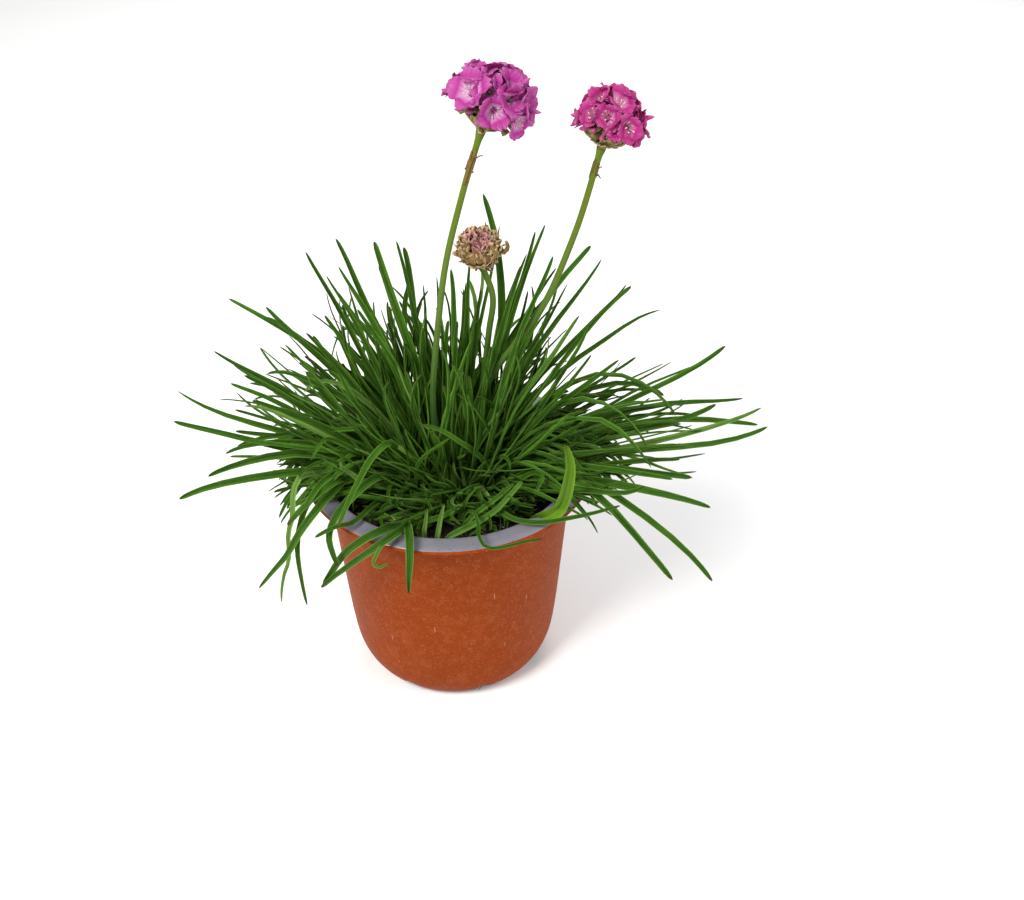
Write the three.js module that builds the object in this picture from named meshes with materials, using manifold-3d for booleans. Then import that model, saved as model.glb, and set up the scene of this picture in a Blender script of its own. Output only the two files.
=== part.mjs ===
// Potted sea thrift: a thin two-tone nursery pot filled with soil, a dense tuft of linear leaves,
// two pink flower heads and one dried head on bare stalks. Units are millimetres, +Z is up,
// the origin is the centre of the flat base and the shown front of the pot faces -Y.

import * as THREE from 'three';
import { mergeVertices } from 'three/addons/utils/BufferGeometryUtils.js';
import Module from 'manifold-3d';

const wasm = await Module();
wasm.setup();

// Pot
const POT_HEIGHT = 88;
const LIP_RADIUS = 52.5;
const MOUTH_RADIUS = 45;
const LIP_THICKNESS = 1.2;
const LIP_ROLL = 1.7;
const POT_WALL = 1.0;
const POT_SIDES = 32;
const DRAIN_COUNT = 8;
const DRAIN_RADIUS = 3.5;
const DRAIN_CIRCLE = 33;
const DRAIN_DEPTH = 6;
const FIT_GAP = 0.3;

// Soil
const SOIL_DEPTH = 11;
const SOIL_TOP = POT_HEIGHT - SOIL_DEPTH;
const SOIL_BUMP = 1.2;
const SOIL_RINGS = 4;
const SOIL_SIDES = 26;

// Leaf tuft
const CROWN_RADIUS = 21;
const CROWN_DOME = 3;
const CROWN_LIFT = 1;
const CROWN_DEPTH = 9;
const ROOT_SINK = 2.5;
const LEAF_KEEL = 0.95;
const LEAF_SHARES = [0, 0.2, 0.43, 0.68, 0.94, 1];
const FILL_SHARES = [0, 0.27, 0.6, 0.94, 1];
const ROOT_SPACING = 2.2;
const ROOT_MARGIN = 1.8;
const LEAF_SEED = 4177;
const LEAF_CLEARANCE = 1.75;
const LIP_CLEARANCE = 1.8;
const SOIL_CLEARANCE = 3.3;
const FILL_DRAWS = 10;
const LEAF_SPACING = 2.4;
const UPRIGHT_BIAS = 20;
const FLAT_LEAN = 1.3;
const SPIRAL_STEP = 0.45;
const SPIRAL_TURNS = 400;
const ROOT_TRIES = 12;
const TURNS_PER_TRY = 20;
const LIFT_STEP = 2;
const MOST_LIFT = 30;
const SWING_STEP = 2;
const SWING_TRIES = 8;
const MOST_TWIST = 30;
const CROWN_SIDES = 18;

// Flower stalks
const STALK_SIDES = 6;
const STALK_STEPS = 10;
const STALK_HOLE_GAP = 0.4;
const SHEATH_GAP = 0.3;
const SHEATH_WALL = 0.55;

const UP = new THREE.Vector3(0, 0, 1);

const COLOURS = {
  pot: 0xa5481f,
  soil: 0x2b211a,
  leaf: 0x2f6418,
  youngLeaf: 0x5f9224,
  stalk: 0x7f962a,
  sheath: 0x9a6f55,
  bract: 0x7c6a34,
  pink: 0xc454ac,
  magenta: 0xb23c93,
  dried: 0xb08f66,
};

function material(colour, roughness) {
  return new THREE.MeshStandardMaterial({ color: colour, roughness, metalness: 0 });
}

function vec(x, y, z) {
  return new THREE.Vector3(x, y, z);
}

function radians(degrees) {
  return (degrees * Math.PI) / 180;
}

const GOLDEN_ANGLE = radians(137.508);

// Random draws that are the same in every build
function makeRandom(seed) {
  let state = seed;
  const next = () => {
    state = (state * 1664525 + 1013904223) % 4294967296;
    return state / 4294967296;
  };
  const between = (low, high) => low + (high - low) * next();
  return { next, between };
}

// Solids
function geometryOf(vertices, faces) {
  const geometry = new THREE.BufferGeometry();
  geometry.setAttribute('position', new THREE.Float32BufferAttribute(vertices.flat(), 3));
  geometry.setIndex(faces.flat());
  return geometry;
}

function toSolid(geometry) {
  const bare = geometry.clone();
  bare.deleteAttribute('normal');
  bare.deleteAttribute('uv');
  const merged = mergeVertices(bare, 1e-4);
  const vertProperties = Float32Array.from(merged.attributes.position.array);
  const triVerts = Uint32Array.from(merged.index.array);
  return new wasm.Manifold(new wasm.Mesh({ numProp: 3, vertProperties, triVerts }));
}

function toGeometry(solid) {
  const mesh = solid.getMesh();
  const geometry = new THREE.BufferGeometry();
  geometry.setAttribute('position', new THREE.Float32BufferAttribute(mesh.vertProperties, 3));
  geometry.setIndex(Array.from(mesh.triVerts));
  return geometry;
}

function fuse(solids) {
  return solids.reduce((whole, solid) => whole.add(solid));
}

// The outer body alone, without the small hollows that crossing leaves shut in
function outerBody(solid) {
  return solid.decompose().reduce((outer, body) => (body.volume() > outer.volume() ? body : outer));
}

function turned(profile, sides) {
  const points = profile.map(([radius, height]) => new THREE.Vector2(radius, height));
  return new THREE.LatheGeometry(points, sides).rotateX(Math.PI / 2);
}

function cylinder(radius, low, high, sides, x = 0, y = 0) {
  return toSolid(turned([[0, low], [radius, low], [radius, high], [0, high]], sides)
    .translate(x, y, 0));
}

// Rings of equal length joined into a closed skin, with a flat or a pointed end
function skin(rings, tip) {
  const sides = rings[0].length;
  const vertices = rings.flat().map((point) => [point.x, point.y, point.z]);
  const faces = [];
  for (let ring = 0; ring + 1 < rings.length; ring += 1) {
    for (let side = 0; side < sides; side += 1) {
      const a = ring * sides + side;
      const b = ring * sides + ((side + 1) % sides);
      faces.push([a, b, b + sides], [a, b + sides, a + sides]);
    }
  }
  for (let side = 1; side + 1 < sides; side += 1) {
    faces.push([0, side + 1, side]);
  }
  const last = (rings.length - 1) * sides;
  if (tip) {
    vertices.push([tip.x, tip.y, tip.z]);
    for (let side = 0; side < sides; side += 1) {
      faces.push([last + side, last + ((side + 1) % sides), vertices.length - 1]);
    }
  } else {
    for (let side = 1; side + 1 < sides; side += 1) {
      faces.push([last, last + side, last + side + 1]);
    }
  }
  return geometryOf(vertices, faces);
}

// Rings joined into a closed loop, for a sleeve
function loopSkin(rings) {
  const sides = rings[0].length;
  const vertices = rings.flat().map((point) => [point.x, point.y, point.z]);
  const faces = [];
  for (let ring = 0; ring < rings.length; ring += 1) {
    const next = ((ring + 1) % rings.length) * sides;
    for (let side = 0; side < sides; side += 1) {
      const after = (side + 1) % sides;
      const a = ring * sides + side;
      const b = ring * sides + after;
      faces.push([a, b, next + after], [a, next + after, next + side]);
    }
  }
  return geometryOf(vertices, faces);
}

// Distance between two straight pieces
function segmentGap(p, q, r, s) {
  const first = q.clone().sub(p);
  const second = s.clone().sub(r);
  const offset = p.clone().sub(r);
  const a = first.dot(first);
  const b = first.dot(second);
  const c = second.dot(second);
  const d = first.dot(offset);
  const e = second.dot(offset);
  const denominator = a * c - b * b;
  const clamp = (value) => Math.min(1, Math.max(0, value));
  let along = denominator > 1e-9 ? clamp((b * e - c * d) / denominator) : 0;
  const across = clamp((b * along + e) / c);
  along = clamp((b * across - d) / a);
  return offset.addScaledVector(first, along).addScaledVector(second, -across).length();
}

function lineGap(line, other) {
  let least = Infinity;
  for (let i = 0; i + 1 < line.length; i += 1) {
    for (let j = 0; j + 1 < other.length; j += 1) {
      least = Math.min(least, segmentGap(line[i], line[i + 1], other[j], other[j + 1]));
    }
  }
  return least;
}

// Pot
function potSolid() {
  const inner = (radius) => radius - POT_WALL;
  const top = POT_HEIGHT;
  const outside = [
    [30.5, 0],
    [33, 1],
    [35.6, 4],
    [37.8, 9],
    [39.2, 16],
    [42.6, 56],
    [MOUTH_RADIUS - 0.3, top - 4],
  ];
  const lip = [
    [MOUTH_RADIUS + 1.2, top - 1.6],
    [LIP_RADIUS - 1.4, top - LIP_THICKNESS],
    [LIP_RADIUS - 0.9, top - LIP_ROLL],
    [LIP_RADIUS, top - LIP_ROLL],
    [LIP_RADIUS, top - 0.8],
    [LIP_RADIUS - 1, top],
    [MOUTH_RADIUS + 0.6, top],
    [MOUTH_RADIUS - 0.6, top - 1.2],
  ];
  const inside = outside.slice(2).reverse().map(([radius, height]) => [inner(radius), height]);
  const profile = [[0, 0], ...outside, ...lip, ...inside, [31, POT_WALL], [0, POT_WALL]];
  let pot = toSolid(turned(profile, POT_SIDES));
  for (let hole = 0; hole < DRAIN_COUNT; hole += 1) {
    const angle = radians(-75 + (360 / DRAIN_COUNT) * hole);
    const x = DRAIN_CIRCLE * Math.cos(angle);
    const y = DRAIN_CIRCLE * Math.sin(angle);
    pot = pot.subtract(cylinder(DRAIN_RADIUS, -1, DRAIN_DEPTH, 6, x, y));
  }
  return pot;
}

// Crumbly soil whose top is a net of seeded bumps
function soilSolid(holes) {
  const random = makeRandom(311);
  const rim = MOUTH_RADIUS - 2.1;
  const rings = [];
  for (let ring = SOIL_RINGS; ring >= 1; ring -= 1) {
    const radius = (rim * ring) / SOIL_RINGS;
    const points = [];
    for (let side = 0; side < SOIL_SIDES; side += 1) {
      const angle = (2 * Math.PI * side) / SOIL_SIDES;
      const bump = random.between(-SOIL_BUMP, SOIL_BUMP);
      points.push(vec(radius * Math.cos(angle), radius * Math.sin(angle), SOIL_TOP + bump));
    }
    rings.push(points);
  }
  const sides = [[29.5, 1.4], [33.4, 6], [36.4, 10], [37.7, 16.2], [41.1, 56]];
  const wall = sides.map(([radius, height]) => {
    const points = [];
    for (let side = 0; side < SOIL_SIDES; side += 1) {
      const angle = (2 * Math.PI * side) / SOIL_SIDES;
      points.push(vec(radius * Math.cos(angle), radius * Math.sin(angle), height));
    }
    return points;
  });
  let soil = toSolid(skin([...wall, ...rings], vec(0, 0, SOIL_TOP)));
  for (const { x, y, radius, depth } of holes) {
    soil = soil.subtract(
      cylinder(radius + FIT_GAP, SOIL_TOP - depth - FIT_GAP, POT_HEIGHT, CROWN_SIDES, x, y),
    );
  }
  return soil;
}

// Leaves. Tips are given in millimetres from the middle of the pot's mouth: to the right, to the
// back and up. Then come the lift of the lower and the upper half, the sideways bow and the width.
const LEFT_LEAVES = [
  [-75, 25, 54, 26, 9, 0, 2.8],
  [-61, 15, 56, 6, 2, 0, 2.6],
  [-62, 20, 49, 20, 9, 0, 1.8],
  [-46, 20, 74, 4, -4, 0, 2.2],
  [-39, 12, 69, 4, 2, 0, 2.0],
  [-35, 15, 81, 8, 4, 0, 2.8],
  [-34, 5, 76, 8, 6, 0, 2.6],
  [-22, 8, 83, 8, 4, 0, 3.0],
  [-21, 15, 72, 5, 4, 0, 2.4],
  [-15, 18, 78, 4, 2, 0, 1.8],
  [-13, 25, 72, 5, 4, 0, 3.0],
  [-36, 10, 64, 24, 10, 0, 1.6],
  [-28, -8, 67, 18, 8, 0, 2.2],
  [-80, 10, 42, 4, 1, 0, 2.8],
  [-69, 0, 38, 4, 2, 0, 2.6],
  [-74, 0, 35, 7, 3, 0, 2.2],
  [-66, -8, 33, 6, 5, 0, 3.0],
  [-48, -10, 37, 26, 22, 0, 2.2],
  [-59, -12, 46, 22, 16, 0, 2.2],
  [-47, 5, 51, 4, 2, 0, 3.0],
  [-42, 22, 48, 4, 2, 0, 2.6],
  [-62, 40, 25, 14, 2, 0, 1.6],
  [-91, -5, 36, 6, -8, 0, 2.6],
  [-93, -10, 27, 10, -2, 0, 2.6],
  [-77, 15, 14, 12, 2, 0, 1.6],
  [-77, 10, 8, 12, 4, 0, 2.4],
  [-68, -20, 25, 16, 2, 0, 1.8],
  [-74, -5, 12, 10, 3, 0, 2.6],
  [-77, -12, 14, 8, 2, 0, 2.6],
  [-82, -20, 11, 12, 3, 0, 3.2],
  [-91, -30, 9, 14, 5, 0, 3.2],
];
const HANGING_LEAVES = [
  [-66, -40, -23, 24, 20, 0, 2.8],
  [-60, -38, -32, 26, 32, 0, 2.8],
  [-49, -42, -30, 24, 30, 0, 2.4],
  [-44, -45, -19, 16, 18, 0, 2.6],
  [-39, -44, -10, 18, 20, 0, 3.2],
  [74, -42, -28, 22, 16, 0, 3.0],
  [90, -45, -25, 22, 6, 0, 2.8],
  [50, -38, -7, 14, 12, 0, 1.8],
  [55, -36, -1, 14, 8, 0, 1.6],
];
const RIGHT_LEAVES = [
  [101, 15, 34, 3, -7, 0, 2.4],
  [81, 20, 10, 28, 20, 0, 2.2],
  [79, 24, 7, 26, 16, 0, 1.6],
  [76, 20, 48, 22, 8, 0, 2.2],
  [63, 12, 62, 6, -2, 0, 2.2],
  [67, 25, 54, 18, 6, 0, 2.2],
  [54, 12, 72, 14, 0, 0, 2.4],
  [51, 18, 74, 22, 13, 0, 2.4],
  [45, -5, 60, 2, 0, 0, 2.4],
  [42, 5, 67, 6, 0, 0, 1.8],
  [36, 5, 80, 5, 0, 0, 2.2],
  [35, 15, 84, 5, 0, 0, 2.0],
  [32, 20, 79, 4, 2, 4, 2.8],
  [27, 10, 78, 2, 0, 0, 2.6],
  [27, 20, 66, 2, 0, 0, 1.6],
  [23, 25, 78, 0, 0, 0, 1.6],
  [15, 20, 93, 0, 0, 8, 2.8],
  [23, 14, 68, 0, 0, 9, 2.6],
  [13, 15, 60, 2, 2, 0, 2.0],
  [3, 10, 71, 0, 0, 3, 2.8],
  [-2, 20, 63, 0, 0, 0, 1.8],
  [8, 15, 63, 0, 0, 0, 1.6],
  [11, 25, 42, 0, 0, 0, 2.6],
  [49, -10, 48, 0, -6, 0, 1.8],
  [60, 0, 39, 4, 3, 0, 2.4],
  [46, 25, 22, 6, 4, 0, 2.4],
  [107, 10, 12, 12, 2, 0, 2.6],
  [96, 0, 19, 4, -9, 0, 2.6],
  [113, 5, 2, 14, 12, 0, 2.8],
  [108, -15, 27, 8, -10, 0, 2.8],
  [109, -22, 24, 10, -10, 0, 2.6],
  [89, -20, 12, 8, -4, 0, 1.8],
  [83, -28, 8, 12, 6, 0, 2.8],
  [76, -30, 9, 12, 6, 0, 2.6],
  [89, -35, 0, 14, 6, 0, 3.4],
  [65, -40, 12, 6, -4, 0, 2.6],
  [62, 15, 15, 8, 0, 0, 1.6],
  [86, 10, 15, 8, -4, 0, 1.8],
];

// Leaves that fill the tuft between those: how many, the arc they lean into in degrees from the
// right, how far out and how high their tips come, the most lift, and the width
const FILL_LEAVES = [
  { count: 20, arc: [0, 360], reach: [4, 26], height: [34, 62], lift: 6, width: [1.8, 2.8] },
  { count: 20, arc: [110, 200], reach: [20, 52], height: [22, 54], lift: 12, width: [1.8, 2.8] },
  { count: 14, arc: [-30, 70], reach: [20, 50], height: [22, 54], lift: 12, width: [1.8, 2.8] },
  { count: 9, arc: [152, 198], reach: [38, 70], height: [2, 26], lift: 14, width: [2.0, 3.0] },
  { count: 9, arc: [-28, 24], reach: [42, 88], height: [0, 16], lift: 14, width: [2.0, 3.0] },
  { count: 15, arc: [32, 148], reach: [30, 76], height: [2, 22], lift: 12, width: [2.0, 2.8] },
  { count: 11, arc: [205, 330], reach: [8, 26], height: [6, 26], lift: 8, width: [2.0, 2.6] },
  { count: 16, arc: [208, 332], reach: [20, 40], height: [-4, 13], lift: 9, width: [2.0, 2.8] },
];

function lerp(a, b, t) {
  return a.clone().lerp(b, t);
}

// Free place on a crown for the foot of a leaf: the lower it lies, the further out. The search
// winds outwards from the best place and starts at a given turn.
function freeRoot([x, y, height], crown, from) {
  const reach = Math.hypot(x - crown.x, y - crown.y);
  const angle = Math.atan2(y - crown.y, x - crown.x);
  const lean = Math.atan2(reach, Math.max(height, 0) + UPRIGHT_BIAS);
  const out = crown.radius * 0.85 * Math.min(1, lean / FLAT_LEAN);
  for (let turn = from; turn < SPIRAL_TURNS; turn += 1) {
    const away = SPIRAL_STEP * Math.sqrt(turn);
    const dx = out * Math.cos(angle) + away * Math.cos(turn * GOLDEN_ANGLE);
    const dy = out * Math.sin(angle) + away * Math.sin(turn * GOLDEN_ANGLE);
    const isFree = crown.roots.every((root) => (
      Math.hypot(crown.x + dx - root.x, crown.y + dy - root.y) > root.room
    ));
    if (isFree && Math.hypot(dx, dy) < crown.radius - ROOT_MARGIN) {
      return { x: crown.x + dx, y: crown.y + dy, room: ROOT_SPACING };
    }
  }
  return null;
}

// Centre line of a leaf from its root on a crown to its tip
function leafLine([x, y, height, low, high, sway], place, crown, shares) {
  const out = Math.hypot(place.x - crown.x, place.y - crown.y) / crown.radius;
  const dome = crown.dome * Math.sqrt(1 - out ** 2);
  const root = vec(place.x, place.y, SOIL_TOP + CROWN_LIFT + dome - ROOT_SINK);
  const tip = vec(x, y, POT_HEIGHT + height);
  const angle = Math.atan2(y - crown.y, x - crown.x);
  const side = vec(-Math.sin(angle), Math.cos(angle), 0);
  const lower = lerp(root, tip, 0.3).addScaledVector(UP, low).addScaledVector(side, -sway / 2);
  const upper = lerp(root, tip, 0.75).addScaledVector(UP, high).addScaledVector(side, -sway);
  const curve = new THREE.CubicBezierCurve3(root, lower, upper, tip);
  return shares.map((share) => curve.getPoint(share));
}

// Whether a leaf lies above the soil and passes over the lip or hangs well outside it
function isAboveSoil(line, crown) {
  for (let i = 0; i + 1 < line.length; i += 1) {
    for (let share = 0; share <= 1; share += 0.125) {
      const point = lerp(line[i], line[i + 1], share);
      const radius = Math.hypot(point.x, point.y);
      const fromCrown = Math.hypot(point.x - crown.x, point.y - crown.y);
      const overLip = radius > MOUTH_RADIUS - 2.6 && radius < LIP_RADIUS + LEAF_CLEARANCE;
      if (overLip && point.z < POT_HEIGHT + LIP_CLEARANCE) {
        return false;
      }
      const overSoil = fromCrown > crown.radius - 0.6 && radius < MOUTH_RADIUS;
      if (overSoil && point.z < SOIL_TOP + SOIL_CLEARANCE) {
        return false;
      }
    }
  }
  return true;
}

function isClearOf(line, obstacles) {
  return obstacles.every((other) => lineGap(line, other.line) > other.radius + LEAF_CLEARANCE);
}

// A leaf is lifted until it lies above the soil and the lip, then swung until it passes the rest
function settleFrom(root, leaf, crown, obstacles, shares) {
  const [x, y, height, low, high, sway, width] = leaf;
  let lift = 0;
  let line = leafLine(leaf, root, crown, shares);
  while (!isAboveSoil(line, crown) && lift < MOST_LIFT) {
    lift += LIFT_STEP;
    line = leafLine([x, y, height, low + lift, high + lift, sway], root, crown, shares);
  }
  for (let turn = 0; turn <= SWING_TRIES; turn += 1) {
    const swing = radians(SWING_STEP * Math.ceil(turn / 2) * (turn % 2 ? 1 : -1));
    const tipX = x * Math.cos(swing) - y * Math.sin(swing);
    const tipY = x * Math.sin(swing) + y * Math.cos(swing);
    line = leafLine([tipX, tipY, height, low + lift, high + lift, sway], root, crown, shares);
    if (isAboveSoil(line, crown) && isClearOf(line, obstacles)) {
      return { line, width, root, angle: Math.atan2(tipY - crown.y, tipX - crown.x) };
    }
  }
  return null;
}

function settle(leaf, crown, obstacles, shares) {
  for (let attempt = 0; attempt < ROOT_TRIES; attempt += 1) {
    const root = freeRoot(leaf, crown, attempt * TURNS_PER_TRY);
    const settled = root && settleFrom(root, leaf, crown, obstacles, shares);
    if (settled) {
      return settled;
    }
  }
  return null;
}

// Settles a leaf and takes its place on the crown
function plant(leaf, crown, obstacles, shares) {
  const settled = settle(leaf, crown, obstacles, shares);
  if (settled) {
    crown.roots.push(settled.root);
  }
  return settled;
}

// Keeled blade along a line, with a narrow foot and a blunt tip
function bladeSolid(line, width, angle, twist, keel = LEAF_KEEL) {
  const across = vec(Math.sin(angle), -Math.cos(angle), 0).applyAxisAngle(UP, twist);
  const last = line.length - 1;
  const rings = [];
  for (let i = 0; i < last; i += 1) {
    const before = line[Math.max(0, i - 1)];
    const tangent = line[i + 1].clone().sub(before).normalize();
    const side = across.clone().addScaledVector(tangent, -across.dot(tangent)).normalize();
    const under = tangent.clone().cross(side).normalize();
    const fullness = i === 0 ? 0.5 : Math.min(1, 1.6 - i / last);
    const half = (width / 2) * fullness;
    rings.push([
      line[i].clone().addScaledVector(side, half),
      line[i].clone().addScaledVector(under, keel),
      line[i].clone().addScaledVector(side, -half),
    ]);
  }
  return toSolid(skin(rings, line[last]));
}

// Flower heads, each built round its own middle with its stalk below it
const HEADS = {
  tall: {
    centre: [16.0, -6, 133.6],
    lean: 19,
    core: 6.6,
    foot: 8.8,
    florets: 11,
    buds: 6,
    floretRadius: 6,
    floretDepth: 2.6,
    reach: 12.4,
    colour: COLOURS.pink,
    seed: 91,
  },
  side: {
    centre: [53, 0, 124.5],
    lean: 17,
    core: 5.6,
    foot: 8.2,
    florets: 14,
    buds: 4,
    floretRadius: 4.5,
    floretDepth: 2.6,
    reach: 11,
    colour: COLOURS.magenta,
    seed: 57,
  },
};
const DRIED_HEAD = {
  centre: [12.3, 5, 81],
  lean: -8,
  core: 4.6,
  foot: 6.5,
  tubes: 24,
  seed: 33,
};

// Stalks, from the crown to the underside of their heads
function footOf({ centre, lean, foot }) {
  const [x, y, height] = centre;
  const angle = radians(lean);
  return [x - foot * Math.sin(angle), y, height - foot * Math.cos(angle)];
}

const STALKS = {
  tall: {
    radius: 1.1,
    path: [[-4, -6, -12], [-4.5, -6, 34], [0, -6, 74], [7, -6, 105], footOf(HEADS.tall)],
  },
  side: {
    radius: 1.1,
    path: [[4, 4, -12], [14, 3, 28], [28.6, 1, 53.6], [35, 0, 65], [43, 0, 87], footOf(HEADS.side)],
  },
  dried: {
    radius: 1.15,
    path: [[8, 6, -12], [13, 6, 30], [15.5, 5, 50], [16.6, 5, 63], footOf(DRIED_HEAD)],
  },
};

function crownSolid(crown) {
  const { x, y, radius, dome, depth } = crown;
  const foot = SOIL_TOP - depth;
  const profile = [[0, foot], [radius * 0.8, foot], [radius, foot + depth * 0.6]];
  for (let step = 0; step <= 3; step += 1) {
    const angle = (Math.PI / 2) * (step / 4);
    profile.push([
      radius * Math.cos(angle),
      SOIL_TOP + CROWN_LIFT + dome * Math.sin(angle),
    ]);
  }
  profile.push([0, SOIL_TOP + CROWN_LIFT + dome]);
  return toSolid(turned(profile, CROWN_SIDES).translate(x, y, 0));
}

const STALK_ROOM = 3.4;
const CROWN = {
  x: 0,
  y: 0,
  radius: CROWN_RADIUS,
  dome: CROWN_DOME,
  depth: CROWN_DEPTH,
  roots: Object.values(STALKS).map(({ path: [[x, y]] }) => ({ x, y, room: STALK_ROOM })),
};
const YOUNG_CROWN = { x: -4, y: -35, radius: 6, dome: 1.5, depth: 5, roots: [] };
const YOUNG_LEAVES = [
  [23, -35, 15, 1, -2, 0, 2.4],
  [19, -33, 12, 1, -2, 0, 2.4],
  [-8, -38, 6, 0, 0, 0, 1.8],
  [-2, -36, 7, 0, 0, 0, 1.8],
  [7, -33, 9, 2, 0, 0, 1.6],
  [30, -49, -1, 8, 3, 9, 1.4],
  [-15, -55, -18, 14, 18, 0, 3.4],
];

function flatTwist(random) {
  return radians(random.between(-MOST_TWIST, MOST_TWIST));
}

// Young rosette with its own crown near the front of the lip
function youngRosette() {
  const random = makeRandom(LEAF_SEED + 1);
  const leaves = YOUNG_LEAVES.map((leaf) => plant(leaf, YOUNG_CROWN, [], LEAF_SHARES));
  const solids = leaves.map(({ line, width, angle }) => (
    bladeSolid(line, width, angle, flatTwist(random))
  ));
  const lines = leaves.map(({ line, width }) => ({ line, radius: width / 2 }));
  return { solid: outerBody(fuse([crownSolid(YOUNG_CROWN), ...solids])), lines };
}

// Broad bright leaf that leans on the lip at the right front
const BROAD_LEAF_PATH = [
  [22, -30, -16],
  [23, -31, -9],
  [27, -33, -1],
  [33, -36, 4.5],
  [38.5, -38, 11],
  [39.5, -38, 20],
  [36.5, -38, 31],
];
const BROAD_LEAF_WIDTH = 4;
const BROAD_LEAF_HOLE = 2.2;

function fromMouth(points) {
  return points.map(([x, y, height]) => vec(x, y, POT_HEIGHT + height));
}

function smoothLine(points, steps) {
  return new THREE.CatmullRomCurve3(fromMouth(points)).getPoints(steps);
}

function broadLeaf() {
  const line = smoothLine(BROAD_LEAF_PATH, 10);
  return {
    solid: bladeSolid(line, BROAD_LEAF_WIDTH, radians(-50), 0, 1.1),
    line: { line, radius: BROAD_LEAF_WIDTH / 2 },
  };
}

function stalkCurve({ path }) {
  return new THREE.CatmullRomCurve3(fromMouth(path));
}

function roundOutline(radius, sides) {
  const outline = new THREE.Shape();
  for (let side = 0; side < sides; side += 1) {
    const angle = (2 * Math.PI * side) / sides;
    const x = radius * Math.cos(angle);
    const y = radius * Math.sin(angle);
    if (side === 0) {
      outline.moveTo(x, y);
    } else {
      outline.lineTo(x, y);
    }
  }
  outline.closePath();
  return outline;
}

function stalkSolid(stalk, extra = 0) {
  return toSolid(new THREE.ExtrudeGeometry(roundOutline(stalk.radius + extra, STALK_SIDES), {
    steps: STALK_STEPS,
    extrudePath: stalkCurve(stalk),
    bevelEnabled: false,
  }));
}

// Plain hole in the crown round the foot of a stalk
function stalkHole(stalk) {
  const [x, y, height] = stalk.path[0];
  const foot = POT_HEIGHT + height;
  const gap = STALK_HOLE_GAP;
  const end = cylinder(stalk.radius + gap, foot - gap, foot + gap, STALK_SIDES, x, y);
  return stalkSolid(stalk, gap).add(end);
}

// Papery sleeve round a stalk between two shares of its length, torn along the lower edge
function sheathSolid(stalk, from, to, seed) {
  const random = makeRandom(seed);
  const curve = stalkCurve(stalk);
  const inside = stalk.radius + SHEATH_GAP;
  const outside = inside + SHEATH_WALL;
  const rings = [];
  const sides = 6;
  const steps = 3;
  const tear = [];
  for (let side = 0; side < sides; side += 1) {
    tear.push(random.between(0, 0.35));
  }
  const ringAt = (share, radius, torn) => {
    const points = [];
    for (let side = 0; side < sides; side += 1) {
      const angle = (2 * Math.PI * side) / sides;
      const along = from + (to - from) * (torn ? tear[side] : share);
      const centre = curve.getPointAt(along);
      const tangent = curve.getTangentAt(along);
      const front = vec(0, 1, 0).cross(tangent).normalize();
      const second = tangent.clone().cross(front).normalize();
      points.push(centre
        .addScaledVector(front, radius * Math.cos(angle))
        .addScaledVector(second, radius * Math.sin(angle)));
    }
    return points;
  };
  for (let step = 0; step <= steps; step += 1) {
    const share = 0.35 + (0.65 * step) / steps;
    rings.push(step === 0 ? ringAt(0, outside + 0.3, true) : ringAt(share, outside, false));
  }
  for (let step = steps; step >= 0; step -= 1) {
    const share = 0.35 + (0.65 * step) / steps;
    rings.push(step === 0 ? ringAt(0, inside, true) : ringAt(share, inside, false));
  }
  return toSolid(loopSkin(rings));
}

const PETALS = 5;
const PETAL_THICKNESS = 0.65;
const PETAL_SPREAD = 0.4;
const PETAL_CUT = 0.58;
const OUTLINE_PER_PETAL = 3;

// Funnel of five petals on a slim tube that points down. Each petal has two outer corners and a
// deep cut beside it.
function floretGeometry(radius, depth, tube, random) {
  const outline = [];
  const step = (2 * Math.PI) / PETALS;
  for (let petal = 0; petal < PETALS; petal += 1) {
    const middle = petal * step;
    const length = radius * random.between(0.85, 1);
    for (const side of [-1, 1]) {
      const angle = middle + side * step * PETAL_SPREAD;
      outline.push([angle, length, random.between(-0.4, 0.5)]);
    }
    outline.push([middle + step / 2, radius * PETAL_CUT, -depth * 0.4]);
  }
  const count = outline.length;
  const vertices = [];
  for (const drop of [0, PETAL_THICKNESS]) {
    for (const [angle, reach, height] of outline) {
      vertices.push([reach * Math.cos(angle), reach * Math.sin(angle), height - drop]);
    }
  }
  const topMiddle = vertices.push([0, 0, -depth]) - 1;
  const neck = vertices.length;
  for (const [reach, height] of [[1.0, -depth - PETAL_THICKNESS], [0.8, -tube]]) {
    for (let petal = 0; petal < PETALS; petal += 1) {
      const angle = (petal + 0.5) * step;
      vertices.push([reach * Math.cos(angle), reach * Math.sin(angle), height]);
    }
  }
  const faces = [];
  for (let i = 0; i < count; i += 1) {
    const next = (i + 1) % count;
    faces.push([topMiddle, i, next]);
    faces.push([i, i + count, next + count], [i, next + count, next]);
  }
  for (let petal = 0; petal < PETALS; petal += 1) {
    const before = neck + ((petal + PETALS - 1) % PETALS);
    const after = neck + petal;
    const first = petal * OUTLINE_PER_PETAL;
    const valley = count + ((first + count - 1) % count);
    const chain = [valley];
    for (let point = 0; point < OUTLINE_PER_PETAL; point += 1) {
      chain.push(count + first + point);
    }
    const turn = Math.floor(chain.length / 2);
    for (let i = 0; i + 1 < chain.length; i += 1) {
      const hub = i < turn ? before : after;
      faces.push([chain[i + 1], chain[i], hub]);
      if (i + 1 === turn) {
        faces.push([chain[turn], before, after]);
      }
    }
    faces.push([before, before + PETALS, after + PETALS], [before, after + PETALS, after]);
  }
  for (let petal = 1; petal + 1 < PETALS; petal += 1) {
    const end = neck + PETALS;
    faces.push([end, end + petal + 1, end + petal]);
  }
  return geometryOf(vertices, faces);
}

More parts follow.
